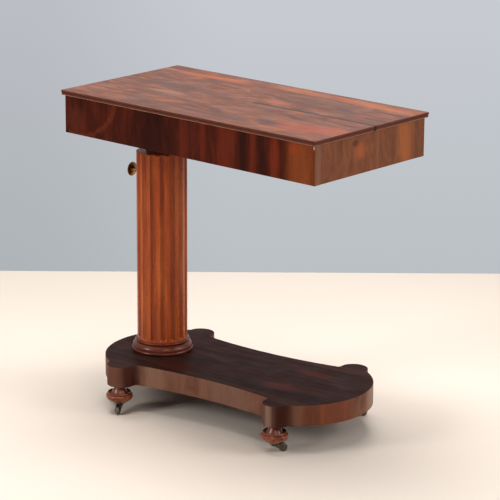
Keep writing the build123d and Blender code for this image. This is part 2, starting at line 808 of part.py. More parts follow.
    half_width = wheel_width / 2
    with BuildPart() as caster_wheel:
        with BuildSketch(wheel_section):
            with BuildLine():
                Polyline(
                    (-half_width, axle_radius + shaft_gap),
                    (half_width, axle_radius + shaft_gap),
                    (half_width, wheel_hub_radius),
                    (half_width - wheel_dish_depth, wheel_hub_radius),
                    (half_width - wheel_dish_depth, wheel_dish_radius),
                    (half_width, wheel_dish_radius),
                    (half_width, wheel_radius),
                    (-half_width, wheel_radius),
                    (-half_width, wheel_dish_radius),
                    (wheel_dish_depth - half_width, wheel_dish_radius),
                    (wheel_dish_depth - half_width, wheel_hub_radius),
                    (-half_width, wheel_hub_radius),
                    close=True,
                )
            make_face()
        revolve(axis=wheel_axis)
        rims = caster_wheel.edges().filter_by(GeomType.CIRCLE).sort_by(SortBy.RADIUS)[-2:]
        fillet(rims, radius=wheel_tread_round)
    caster_wheel.part.label = f"caster_wheel_{name}"
    export_step(caster_wheel.part, f"parts/caster_wheel_{name}.step")

# Height catch: barrel, spring, plate and screws stay in the column
with BuildPart() as catch_barrel:
    with BuildSketch(catch_face.offset(bore_face + barrel_set_back)):
        Circle(barrel_radius)
        Circle(catch_nose_radius + shaft_gap, mode=Mode.SUBTRACT)
    extrude(amount=barrel_step - bore_face - barrel_set_back)
    with BuildSketch(catch_face.offset(barrel_step)):
        Circle(barrel_radius)
        Circle(barrel_chamber_radius, mode=Mode.SUBTRACT)
    extrude(amount=catch_plate_seat - barrel_step)
catch_barrel.part.label = "catch_barrel"
export_step(catch_barrel.part, "parts/catch_barrel.step")

with BuildPart() as catch_plate:
    with BuildSketch(catch_face.offset(catch_plate_seat)):
        Circle(catch_plate_radius)
        Circle(catch_stem_radius + shaft_gap, mode=Mode.SUBTRACT)
    extrude(amount=catch_plate_thickness)
    place_catch_screws(Mode.SUBTRACT, fit_gap)
catch_plate.part.label = "catch_plate"
export_step(catch_plate.part, "parts/catch_plate.step")

with BuildPart() as catch_plate_screws:
    place_catch_screws(Mode.ADD)
catch_plate_screws.part.label = "catch_plate_screws"
export_step(catch_plate_screws.part, "parts/catch_plate_screws.step")

spring_start = catch_collar_start + catch_collar_thickness + spring_wire_radius
spring_length = catch_plate_seat - spring_wire_radius - spring_start
with BuildPart() as catch_spring:
    with BuildLine() as coil:
        Helix(
            pitch=spring_length / spring_turns,
            height=spring_length,
            radius=spring_radius,
            center=(column_x - spring_start, column_y, catch_height),
            direction=(-1, 0, 0),
        )
    with BuildSketch(Plane(origin=coil.line @ 0, z_dir=coil.line % 0)):
        Circle(spring_wire_radius)
    sweep(path=coil.line, is_frenet=True)
catch_spring.part.label = "catch_spring"
export_step(catch_spring.part, "parts/catch_spring.step")

# Catch bolt and knob, which move together
knob_rim_place = knob_back_place + knob_rim_thickness / 2
knob_front_place = knob_back_place + knob_rim_thickness
knob_dome_rise = knob_end - knob_front_place
knob_dome_radius = (knob_back_radius**2 + knob_dome_rise**2) / (2 * knob_dome_rise)
knob_hollow = (
    knob_back_place - knob_hollow_share * (knob_back_place - knob_waist_place),
    knob_waist_radius + knob_hollow_share * (knob_back_radius - knob_waist_radius),
)
with BuildPart() as catch_bolt:
    with BuildSketch(catch_section):
        with BuildLine():
            Polyline(
                (bore_face, 0),
                (bore_face, catch_nose_radius - catch_nose_tip_chamfer),
                (bore_face + catch_nose_tip_chamfer, catch_nose_radius),
                (catch_collar_start, catch_nose_radius),
                (catch_collar_start, catch_collar_radius),
                (catch_collar_start + catch_collar_thickness, catch_collar_radius),
                (catch_collar_start + catch_collar_thickness, catch_stem_radius),
                (catch_stem_end, catch_stem_radius),
                (catch_stem_end, 0),
                close=True,
            )
        make_face()
    revolve(axis=catch_axis)
catch_bolt.part.label = "catch_bolt"
export_step(catch_bolt.part, "parts/catch_bolt.step")

with BuildPart() as catch_knob:
    with BuildSketch(catch_section):
        with BuildLine():
            Line((knob_start, 0), (knob_start, knob_neck_radius))
            Line((knob_start, knob_neck_radius), (knob_waist_place, knob_waist_radius))
            ThreePointArc(
                (knob_waist_place, knob_waist_radius),
                knob_hollow,
                (knob_back_place, knob_back_radius),
            )
            ThreePointArc(
                (knob_back_place, knob_back_radius),
                (knob_rim_place, knob_radius),
                (knob_front_place, knob_back_radius),
            )
            RadiusArc((knob_front_place, knob_back_radius), (knob_end, 0), knob_dome_radius)
            Line((knob_end, 0), (knob_start, 0))
        make_face()
    revolve(axis=catch_axis)
    with BuildSketch(catch_face.offset(knob_start)):
        Circle(catch_stem_radius + fit_gap)
    extrude(amount=catch_stem_end - knob_start, mode=Mode.SUBTRACT)
catch_knob.part.label = "catch_knob"
export_step(catch_knob.part, "parts/catch_knob.step")
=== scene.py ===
"""Looks of a mahogany bed table: its woods, metals and leather, the light on it and the camera."""

import logging
from dataclasses import dataclass
from enum import Enum
from math import cos, pi, radians, sin
from typing import Any

import bpy
from mathutils import Matrix, Vector


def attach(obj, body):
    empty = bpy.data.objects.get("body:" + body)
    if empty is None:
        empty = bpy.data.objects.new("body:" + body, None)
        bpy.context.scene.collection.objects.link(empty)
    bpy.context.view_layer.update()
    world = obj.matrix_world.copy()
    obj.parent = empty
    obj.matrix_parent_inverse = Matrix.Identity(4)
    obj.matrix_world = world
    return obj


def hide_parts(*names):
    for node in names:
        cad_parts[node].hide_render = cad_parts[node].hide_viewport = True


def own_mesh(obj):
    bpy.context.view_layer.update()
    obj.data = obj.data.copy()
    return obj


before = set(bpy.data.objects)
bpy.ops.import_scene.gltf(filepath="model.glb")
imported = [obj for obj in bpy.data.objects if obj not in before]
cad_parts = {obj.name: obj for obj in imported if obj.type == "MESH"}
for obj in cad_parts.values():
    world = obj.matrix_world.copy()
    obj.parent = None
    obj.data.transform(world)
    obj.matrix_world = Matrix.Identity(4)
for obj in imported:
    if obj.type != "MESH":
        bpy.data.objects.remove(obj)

Tree = bpy.types.NodeTree
Socket = bpy.types.NodeSocket
Place = tuple[float, float, float]

LOG = logging.getLogger("bed_table")
MM = 0.001
CORNERS = ("front_left", "front_right", "rear_right", "rear_left")
TOP_TURN = radians(-5.0)
COLUMN = (-0.25403, 0.02222)
SHARP_ANGLE = radians(30.0)
SOCKET_KINDS = {
    float: "NodeSocketFloat",
    int: "NodeSocketInt",
    tuple: "NodeSocketVector",
    bpy.types.Material: "NodeSocketMaterial",
}


def linear(code: str) -> tuple[float, float, float, float]:
    """Turns an sRGB hex colour into linear light.

    Args:
        code: The colour as six hex digits.

    Returns:
        Red, green, blue and a full alpha.
    """
    parts = [int(code[i : i + 2], 16) / 255 for i in (0, 2, 4)]
    r, g, b = (p / 12.92 if p <= 0.04045 else ((p + 0.055) / 1.055) ** 2.4 for p in parts)
    return r, g, b, 1.0


@dataclass(frozen=True, eq=False)
class Number:
    """A value that a tree works out, so that a rule reads as arithmetic."""

    tree: Tree
    socket: Socket

    def by(self, operation: str, *others: "Number | float", clamped: bool = False) -> "Number":
        """Puts the value through a math node.

        Args:
            operation: Blender's name for the operation.
            others: The operation's further values.
            clamped: Whether the result is kept between 0 and 1.

        Returns:
            The result.
        """
        settings = {"operation": operation, "use_clamp": clamped}
        node = add(self.tree, "ShaderNodeMath", settings, dict(enumerate((self, *others))))
        return Number(self.tree, node.outputs[0])

    def __add__(self, other: "Number | float") -> "Number":
        """Adds another value."""
        return self.by("ADD", other)

    def __sub__(self, other: "Number | float") -> "Number":
        """Takes another value away."""
        return self.by("SUBTRACT", other)

    def __mul__(self, other: "Number | float") -> "Number":
        """Multiplies by another value."""
        return self.by("MULTIPLY", other)

    def __truediv__(self, other: "Number | float") -> "Number":
        """Divides by another value."""
        return self.by("DIVIDE", other)


def add(
    tree: Tree,
    kind: str,
    settings: dict[str, Any] | None = None,
    inputs: dict[str | int, Any] | None = None,
) -> bpy.types.Node:
    """Adds a node with its settings, its values and its links.

    Args:
        tree: The tree that gets the node.
        kind: Blender's name for the node's type.
        settings: The node's own properties.
        inputs: A value, a number or the socket to link from, for each input.

    Returns:
        The new node.
    """
    node = tree.nodes.new(kind)
    for name, value in (settings or {}).items():
        setattr(node, name, value)
    for name, value in (inputs or {}).items():
        source = value.socket if isinstance(value, Number) else value
        if isinstance(source, Socket):
            tree.links.new(source, node.inputs[name])
        else:
            node.inputs[name].default_value = source
    return node


def split(tree: Tree, vector: Socket) -> tuple[Number, ...]:
    """The X, Y and Z of a vector."""
    parts = add(tree, "ShaderNodeSeparateXYZ", {}, {0: vector}).outputs
    return tuple(Number(tree, part) for part in parts)


def join(tree: Tree, *parts: Number | Socket | float) -> Socket:
    """A vector of an X, a Y and a Z."""
    return add(tree, "ShaderNodeCombineXYZ", {}, dict(enumerate(parts))).outputs[0]


@dataclass(frozen=True)
class Sheet:
    """A shader tree, with the steps that the finishes, the floor and the room share."""

    tree: Tree

    def node(
        self,
        kind: str,
        settings: dict[str, Any] | None = None,
        inputs: dict[str | int, Any] | None = None,
    ) -> bpy.types.Node:
        """Adds a node; the arguments are those of add()."""
        return add(self.tree, kind, settings, inputs)

    def own(self, output: str = "Object") -> Socket:
        """The places, or what else a Texture Coordinate node gives."""
        return self.node("ShaderNodeTexCoord").outputs[output]

    def mapped(self, vector: Socket, label: str, kind: str = "POINT", **inputs: Any) -> Socket:
        """Moves, turns and scales a vector, with the Mapping node's own inputs."""
        settings = {"label": label, "vector_type": kind}
        return self.node("ShaderNodeMapping", settings, {"Vector": vector, **inputs}).outputs[0]

    def vector_math(self, operation: str, *values: Any) -> bpy.types.Node:
        """Adds a vector math node."""
        return self.node(
            "ShaderNodeVectorMath", {"operation": operation}, dict(enumerate(values))
        )

    def length(self, vector: Socket) -> Number:
        """How long a vector is."""
        return Number(self.tree, self.vector_math("LENGTH", vector).outputs["Value"])

    def dot(self, first: Any, second: Any) -> Number:
        """The dot product of two vectors."""
        return Number(self.tree, self.vector_math("DOT_PRODUCT", first, second).outputs["Value"])

    def noise(
        self,
        label: str,
        places: Socket,
        detail: float = 3.0,
        roughness: float = 0.5,
        warp: float = 0.0,
        scale: float = 1.0,
    ) -> Number:
        """Clouds between 0 and 1.

        Args:
            label: What the clouds stand for.
            places: Where they are looked up.
            detail: How many finer layers they have.
            roughness: How strong the finer layers are.
            warp: How far they are twisted.
            scale: How many clouds there are to a unit.

        Returns:
            Their value.
        """
        inputs = {
            "Vector": places,
            "Scale": scale,
            "Detail": detail,
            "Roughness": roughness,
            "Distortion": warp,
        }
        cloud = self.node("ShaderNodeTexNoise", {"label": label}, inputs)
        return Number(self.tree, cloud.outputs[0])

    def cells(self, label: str, places: Socket, feature: str, scale: float = 1.0) -> Number:
        """The distance from scattered points."""
        settings = {"feature": feature, "label": label}
        cell = self.node("ShaderNodeTexVoronoi", settings, {"Vector": places, "Scale": scale})
        return Number(self.tree, cell.outputs["Distance"])

    def spread(
        self,
        value: Number,
        start: float,
        end: float,
        low: float = 0.0,
        high: float = 1.0,
        curve: str = "LINEAR",
    ) -> Number:
        """Carries a range of values over to another one, and holds it at both ends.

        Args:
            value: The value.
            start: Where the range starts.
            end: Where it ends.
            low: What the start becomes.
            high: What the end becomes.
            curve: How it runs between them.

        Returns:
            The new value.
        """
        inputs = {
            "Value": value,
            "From Min": start,
            "From Max": end,
            "To Min": low,
            "To Max": high,
        }
        node = self.node("ShaderNodeMapRange", {"interpolation_type": curve}, inputs)
        return Number(self.tree, node.outputs[0])

    def mix(
        self, share: Number, first: Socket | str, second: Socket | str, blend: str = "MIX"
    ) -> Socket:
        """Mixes two colours.

        Args:
            share: The second colour's share.
            first: The first colour, as a socket or as a hex code.
            second: The second colour.
            blend: How the second colour is laid on.

        Returns:
            The mixed colour.
        """
        sides = {6 + i: linear(c) if isinstance(c, str) else c for i, c in enumerate((first, second))}
        settings = {"data_type": "RGBA", "blend_type": blend}
        return self.node("ShaderNodeMix", settings, {"Factor": share, **sides}).outputs[2]

    def ramp(self, label: str, value: Number, stops: tuple[tuple[float, str], ...]) -> Socket:
        """Turns a value into a colour.

        Args:
            label: What the colours stand for.
            value: The value.
            stops: Colours and where they lie, from low to high.

        Returns:
            The colour.
        """
        node = self.node("ShaderNodeValToRGB", {"label": label}, {"Fac": value})
        marks = node.color_ramp.elements
        for mark, (place, code) in ((marks[0], stops[0]), (marks[1], stops[-1])):
            mark.position = place
            mark.color = linear(code)
        for place, code in stops[1:-1]:
            marks.new(place).color = linear(code)
        return node.outputs["Color"]

    def edges(self, width: float, start: float, low: float, high: float) -> Number:
        """Finds the edges that hands rub.

        Args:
            width: How far from an edge the rubbing reaches, in millimetres.
            start: How nearly the rounded and the true surface agree where it starts.
            low: The value off the edges.
            high: The value on them.

        Returns:
            The value.
        """
        rounded = self.node("ShaderNodeBevel", {"samples": 6}, {"Radius": width * MM})
        true = self.node("ShaderNodeNewGeometry").outputs["Normal"]
        return self.spread(self.dot(rounded.outputs[0], true), start, 0.8, low, high)

    def close(
        self,
        shading: dict[str, Any],
        relief: Number | None = None,
        strength: float = 0.0,
        depth: float = 0.0,
    ) -> None:
        """Ends a material's tree in its shader.

        Args:
            shading: The shader's inputs.
            relief: The surface's height, if it has a grain.
            strength: How strong the grain is.
            depth: How deep it is, in millimetres.
        """
        if relief:
            inputs = {"Strength": strength, "Distance": depth * MM, "Height": relief}
            bump = self.node("ShaderNodeBump", {}, inputs)
            shading = {**shading, "Normal": bump.outputs["Normal"]}
        shader = self.node("ShaderNodeBsdfPrincipled", {}, shading)
        self.node("ShaderNodeOutputMaterial", {}, {"Surface": shader.outputs[0]})


def new_material(name: str) -> tuple[bpy.types.Material, Sheet]:
    """Starts a material with an empty tree.

    Args:
        name: The material's name.

    Returns:
        The material, and its tree.
    """
    material = bpy.data.materials.new(name)
    material.use_nodes = True
    material.node_tree.nodes.clear()
    return material, Sheet(material.node_tree)


class Along(Enum):
    """Which way the grain runs, as the turn that lays it along the pattern's X."""

    LENGTH = (0.0, 0.0, 0.0)
    DEPTH = (0.0, 0.0, -pi / 2)
    HEIGHT = (0.0, pi / 2, 0.0)


@dataclass(frozen=True)
class Patch:
    """A soft-edged area where the wood is paler, redder or darker.

    Places and reaches are in millimetres in the piece's own axes, before the grain's turn. A ring
    is a band round the patch's rim, as wide as that share of its reach. Rag is how far the edge
    strays along the grain.
    """

    place: Place
    reach: Place
    colour: str
    strength: float
    lean: float = 0.0
    ring: float = 0.0
    rag: float = 1.1


@dataclass(frozen=True)
class OtherFace:
    """A second wood on the faces that look along an axis, or on all but those."""

    wood: "Timber"
    axis: Place
    square_on: bool


@dataclass(frozen=True)
class Timber:
    """A sawn and polished wood, drawn with its figure, streaks and pores in real millimetres."""

    name: str
    dark: str
    middle: str
    light: str
    along: Along = Along.LENGTH
    turn: float = 0.0
    figure: float = 34.0
    figure_reach: float = 9.0
    figure_warp: float = 1.2
    contrast: float = 0.22
    streak: float = 4.0
    streak_reach: float = 24.0
    streak_depth: float = 0.35
    streak_tint: str = "7c5148"
    pore: float = 1.1
    pore_reach: float = 14.0
    pore_depth: float = 0.35
    rag: float = 16.0
    rag_reach: float = 5.0
    roughness: float = 0.32
    specular: float = 0.5
    coat: float = 0.0
    coat_roughness: float = 0.12
    worn: str = "9a6a50"
    worn_width: float = 1.2
    worn_share: float = 0.6
    bump: float = 0.25
    grain_depth: float = 0.25
    patches: tuple[Patch, ...] = ()
    other: OtherFace | None = None

    def stretched(self, sheet: Sheet, places: Socket, width: float, reach: float) -> Socket:
        """Pattern places that make features so wide across the grain and longer along it.

        Args:
            sheet: The material's tree.
            places: Places in millimetres.
            width: The features' width across the grain in millimetres.
            reach: How many times longer than wide they are.

        Returns:
            The socket to give a texture of scale 1.
        """
        laid = sheet.mapped(places, "grain along X", Rotation=self.along.value)
        size = (1 / (width * reach), 1 / width, 1 / width)
        return sheet.mapped(laid, "feature size", Scale=size)

    def patch_colour(self, sheet: Sheet, places: Socket, colour: Socket) -> Socket:
        """Lays the patches over the wood's colour, with ragged edges along the grain.

        Args:
            sheet: The material's tree.
            places: Places in millimetres.
            colour: The wood's colour so far.

        Returns:
            The colour with the patches on it.
        """
        rag = sheet.noise(
            "ragged edge", self.stretched(sheet, places, self.rag, self.rag_reach)
        )
        for patch in self.patches:
            lean = (0.0, 0.0, radians(patch.lean))
            spot = sheet.mapped(
                places, "patch", "TEXTURE", Location=patch.place, Rotation=lean, Scale=patch.reach
            )
            away = rag * patch.rag + sheet.length(spot)
            full = 0.2 + 0.5 * patch.rag
            if patch.ring:
                off_rim = (away - (full + 0.8)).by("ABSOLUTE")
                away = off_rim / patch.ring + full
            share = sheet.spread(away, full, full + 1.0, patch.strength, 0.0, "SMOOTHERSTEP")
            colour = sheet.mix(share, colour, patch.colour)
        return colour

    def marks(self, sheet: Sheet, places: Socket, colour: Socket) -> Socket:
        """Adds nothing here; a wood with marks of its own adds them."""
        return colour

    def tones(self, sheet: Sheet, places: Socket) -> tuple[Socket, Number]:
        """Draws the figure, patches, streaks and pores.

        Args:
            sheet: The material's tree.
            places: Places in millimetres.

        Returns:
            The wood's colour, and its grain as a height.
        """
        seat = self.stretched(sheet, places, self.figure, self.figure_reach)
        figure = sheet.noise("broad figure", seat, 5.0, 0.55, self.figure_warp)
        stops = (
            (0.5 - self.contrast, self.dark),
            (0.5, self.middle),
            (0.5 + self.contrast, self.light),
        )
        colour = sheet.ramp("heartwood tones", figure, stops)
        if self.patches:
            colour = self.patch_colour(sheet, places, colour)
        seat = self.stretched(sheet, places, self.streak, self.streak_reach)
        streaks = sheet.noise("growth streaks", seat, 4.0, 0.6)
        share = sheet.spread(streaks, 0.38, 0.66, 0.0, self.streak_depth)
        colour = sheet.mix(share, colour, self.streak_tint, "MULTIPLY")
        seat = self.stretched(sheet, places, self.pore, self.pore_reach)
        share = sheet.spread(sheet.cells("pores", seat, "F1"), 0.12, 0.34, self.pore_depth, 0.0)
        colour = sheet.mix(share, colour, self.dark)
        return self.marks(sheet, places, colour), streaks - share

    def make(self) -> bpy.types.Material:
        """Builds the material.

        Returns:
            The finished material.
        """
        material, sheet = new_material(self.name)
        turned_back = (0.0, 0.0, -self.turn)
        places = sheet.mapped(
            sheet.own(), "piece's own axes, mm", Rotation=turned_back, Scale=(1 / MM,) * 3
        )
        colour, relief = self.tones(sheet, places)
        if self.other:
            second, second_relief = self.other.wood.tones(sheet, places)
            square = sheet.dot(sheet.own("Normal"), self.other.axis).by("ABSOLUTE")
            ends = (0.0, 1.0) if self.other.square_on else (1.0, 0.0)
            share = sheet.spread(square, 0.6, 0.75, *ends)
            colour = sheet.mix(share, colour, second)
            relief = (second_relief - relief) * share + relief
        handled = sheet.noise("dulled polish", places, scale=0.02)
        rubbed = sheet.edges(self.worn_width, 0.98, 0.0, self.worn_share) * handled
        colour = sheet.mix(rubbed, colour, self.worn)
        dulled = (self.roughness * 0.85, self.roughness * 1.25)
        shading = {
            "Base Color": colour,
            "Roughness": sheet.spread(handled, 0.3, 0.7, *dulled),
            "Specular IOR Level": self.specular,
            "Coat Weight": self.coat,
            "Coat Roughness": self.coat_roughness,
        }
        sheet.close(shading, relief, self.bump, self.grain_depth)
        return material


@dataclass(frozen=True)
class TopTimber(Timber):
    """The top's polish, with the dark line of the opened joint and the lines of the moulded edge,
    with painted shade in its quirk.
    """

    joint: float = 6.0
    joint_start: float = 12.0
    joint_opening: float = 40.0
    joint_width: float = 4.4
    joint_colour: str = "1c0c08"
    underside: float = 761.0
    thickness: float = 12.0
    edge_wear: str = "6c3420"
    edge_shade_lines: tuple[tuple[float, str], ...] = (
        (0.0, "b48c70"),
        (0.09, "a07458"),
        (0.14, "6a3422"),
        (0.44, "602c1e"),
        (0.47, "0c0504"),
        (0.60, "0c0504"),
        (0.63, "5a281c"),
        (0.90, "6a3224"),
        (1.0, "86503c"),
    )

    def marks(self, sheet: Sheet, places: Socket, colour: Socket) -> Socket:
        """Draws the joint from where it opens to the end of the top, and the edge's lines, with
        painted shade in the moulding's quirk.

        Args:
            sheet: The material's tree.
            places: Places in millimetres.
            colour: The wood's colour so far.

        Returns:
            The colour with the joint and the edge drawn in.
        """
        x, y, z = split(sheet.tree, places)
        level = sheet.spread(z, self.underside, self.underside + self.thickness)
        # The moulding drawn as bands by height: a near-black band of painted shade for its quirk.
        lines = sheet.ramp("edge lines", level, self.edge_shade_lines)
        wear = sheet.noise("uneven edge", self.stretched(sheet, places, 5.0, 6.0))
        toned = sheet.mix(sheet.spread(wear, 0.4, 0.75, 0.0, 0.5), lines, self.edge_wear)
        facing_up = split(sheet.tree, sheet.own("Normal"))[2]
        colour = sheet.mix(sheet.spread(facing_up, 0.55, 0.8, 1.0, 0.0), colour, toned)
        near, far = self.joint_width * 0.4, self.joint_width * 1.4
        across = sheet.spread((y - self.joint).by("ABSOLUTE"), near, far, 1.0, 0.0, "SMOOTHSTEP")
        whole = self.joint_start + self.joint_opening
        opened = sheet.spread(x, self.joint_start, whole, 0.15, 1.0, "SMOOTHSTEP")
        return sheet.mix(across * opened, colour, self.joint_colour)


@dataclass(frozen=True)
class FlutedTimber(Timber):
    """A fluted wood, with painted shade darkening it down in its flutes."""

    axis: tuple[float, float] = (0.0, 0.0)
    flute_bottom: float = 56.0
    flute_rim: float = 60.7
    flute_shade: str = "54200e"
    flute_shade_share: float = 0.34

    def marks(self, sheet: Sheet, places: Socket, colour: Socket) -> Socket:
        """Darkens the wood by its distance from the column's axis: painted shade down in the flutes.

        Args:
            sheet: The material's tree.
            places: Places in millimetres.
            colour: The wood's colour so far.

        Returns:
            The colour with the flutes darkened.
        """
        back = (-self.axis[0], -self.axis[1], 0.0)
        level = sheet.vector_math("MULTIPLY_ADD", places, (1.0, 1.0, 0.0), back).outputs[0]
        ends = (self.flute_shade_share, 0.0)
        share = sheet.spread(sheet.length(level), self.flute_bottom, self.flute_rim, *ends)
        return sheet.mix(share, colour, self.flute_shade)


@dataclass(frozen=True)
class Metal:
    """A cast, drawn or rolled metal with tarnish in its hollows and rubbed high places."""

    name: str
    clean: str
    tarnish: str
    tarnish_share: float
    roughness: float
    mottle: float = 4.0
    worn_width: float = 0.6

    def make(self) -> bpy.types.Material:
        """Builds the material.

        Returns:
            The finished material.
        """
        material, sheet = new_material(self.name)
        size = 1 / (self.mottle * MM)
        patina = sheet.noise("patina", sheet.own(), 6.0, 0.65, scale=size)
        share = sheet.spread(patina, 0.62 - 0.35 * self.tarnish_share, 0.3)
        kept = sheet.edges(self.worn_width, 0.97, 1.0, 0.35)
        dulled = share.by("MULTIPLY", kept, clamped=True)
        dull = min(1.0, self.roughness + 0.3)
        shading = {
            "Base Color": sheet.mix(dulled, self.clean, self.tarnish),
            "Metallic": 1.0,
            "Roughness": sheet.spread(dulled, 0.0, 1.0, self.roughness, dull),
        }
        sheet.close(shading, patina, 0.2, 0.1)
        return material


@dataclass(frozen=True)
class Leather:
    """Sole leather, tanned brown and pressed smooth, with a pebbled grain."""

    name: str = "sole_leather_pressed"
    colour: str = "5a3a26"
    rubbed: str = "7d5638"
    pebble: float = 1.5

    def make(self) -> bpy.types.Material:
        """Builds the material.

        Returns:
            The finished material.
        """
        material, sheet = new_material(self.name)
        size = 1 / (self.pebble * MM)
        grain = sheet.cells("pebbled grain", sheet.own(), "SMOOTH_F1", size)
        colour = sheet.mix(grain, self.rubbed, self.colour)
        sheet.close({"Base Color": colour, "Roughness": 0.6}, grain, 0.4, 0.2)
        return material


@dataclass(frozen=True)
class Seat:
    """Where a tree puts a shape, in metres, and how much of its full length the shape has."""

    place: Place
    reach: float = 1.0


def new_shape_tree(name: str, sizes: dict[str, Any]) -> tuple[Tree, dict[str, Number]]:
    """Starts a Geometry Nodes tree with an input for each size.

    Args:
        name: The tree's name.
        sizes: The first value of each input, by its name.

    Returns:
        The tree, and its inputs, by name.
    """
    tree = bpy.data.node_groups.new(name, "GeometryNodeTree")
    face = tree.interface
    face.new_socket("Seats", in_out="INPUT", socket_type="NodeSocketGeometry")
    for label, value in sizes.items():
        kind = SOCKET_KINDS[type(value)]
        socket = face.new_socket(label, in_out="INPUT", socket_type=kind)
        if not isinstance(value, bpy.types.Material):
            socket.default_value = value
    face.new_socket("Shapes", in_out="OUTPUT", socket_type="NodeSocketGeometry")
    start = add(tree, "NodeGroupInput")
    return tree, {socket.name: Number(tree, socket) for socket in start.outputs if socket.name}


def end_tree(
    tree: Tree, given: dict[str, Number], shape: Socket, turned: Socket | None = None
) -> None:
    """Puts the shape on each seat, makes it real and gives it its finish.

    Args:
        tree: The tree to end.
        given: The tree's inputs, by name.
        shape: The shape for each seat.
        turned: How each shape is turned, or nothing for upright shapes.
    """
    reach = add(
        tree, "GeometryNodeInputNamedAttribute", {"data_type": "FLOAT"}, {"Name": "reach"}
    )
    spots = {
        "Points": given["Seats"],
        "Instance": shape,
        "Scale": join(tree, 1.0, 1.0, reach.outputs["Attribute"]),
    }
    if turned:
        spots["Rotation"] = turned
    placed = add(tree, "GeometryNodeInstanceOnPoints", {}, spots)
    real = add(tree, "GeometryNodeRealizeInstances", {}, {0: placed.outputs["Instances"]})
    finish = {"Geometry": real.outputs[0], "Material": given["Finish"]}
    dressed = add(tree, "GeometryNodeSetMaterial", {}, finish)
    add(tree, "NodeGroupOutput", {}, {0: dressed.outputs[0]})


def pushed(tree: Tree, shape: Socket, *place: Number) -> Socket:
    """Moves a shape's points to places that a rule gives."""
    inputs = {"Geometry": shape, "Position": join(tree, *place)}
    return add(tree, "GeometryNodeSetPosition", {}, inputs).outputs[0]


def carved(tree: Tree, shape: Socket, *cutters: Socket) -> Socket:
    """Cuts shapes out of another.

    Args:
        tree: The tree.
        shape: The shape that is cut.
        cutters: What is cut out of it, one after another.

    Returns:
        What is left.
    """
    settings = {"operation": "DIFFERENCE", "solver": "EXACT"}
    for cutter in cutters:
        meshes = {"Mesh 1": shape, "Mesh 2": cutter}
        shape = add(tree, "GeometryNodeMeshBoolean", settings, meshes).outputs["Mesh"]
    return shape


def grow(name: str, tree: Tree, sizes: dict[str, Any], seats: list[Seat]) -> bpy.types.Object:
    """Runs a Geometry Nodes tree on a few places and keeps the result as a plain mesh.

    Args:
        name: The new piece's name.
        tree: The tree, whose inputs are named.
        sizes: A value for each named input.
        seats: Where the tree puts its shapes.

    Returns:
        The new piece, at the origin and unturned, with sharp edges kept sharp.
    """
    spots = bpy.data.meshes.new(f"{name}_seats")
    spots.from_pydata([seat.place for seat in seats], [], [])
    reach = spots.attributes.new("reach", "FLOAT", "POINT")
    reach.data.foreach_set("value", [seat.reach for seat in seats])
    piece = bpy.data.objects.new(name, spots)
    bpy.context.scene.collection.objects.link(piece)
    modifier = piece.modifiers.new("shape", "NODES")
    modifier.node_group = tree
    for item in tree.interface.items_tree:
        if item.item_type == "SOCKET" and item.in_out == "INPUT" and item.name in sizes:
            modifier[item.identifier] = sizes[item.name]
    bpy.context.view_layer.update()
    shown = piece.evaluated_get(bpy.context.evaluated_depsgraph_get())
    mesh = bpy.data.meshes.new_from_object(shown)
    piece.modifiers.remove(modifier)
    piece.data = mesh
    bpy.data.meshes.remove(spots)
    mesh.name = name
    mesh.shade_smooth()
    mesh.set_sharp_from_angle(angle=SHARP_ANGLE)
    return piece


def stand_for(piece: bpy.types.Object, node: str, body: str) -> None:
    """Puts a piece in a CAD node's place.

    Args:
        piece: The finished piece.
        node: The CAD node that it stands for, which is hidden.
        body: The body that it rides on.
    """
    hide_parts(node)
    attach(piece, body)
    LOG.info("%s: %d faces in place of %s", piece.name, len(piece.data.polygons), node)


def in_top_frame(x: float, y: float, z: float) -> Place:
    """A place given in millimetres along the turned top, in metres along the model's axes.

    Args:
        x: Along the top's length.
        y: Along the top's depth.
        z: Up from the floor.

    Returns:
        The place.
    """
    along, across = cos(TOP_TURN), sin(TOP_TURN)
    return MM * (x * along - y * across), MM * (x * across + y * along), MM * z


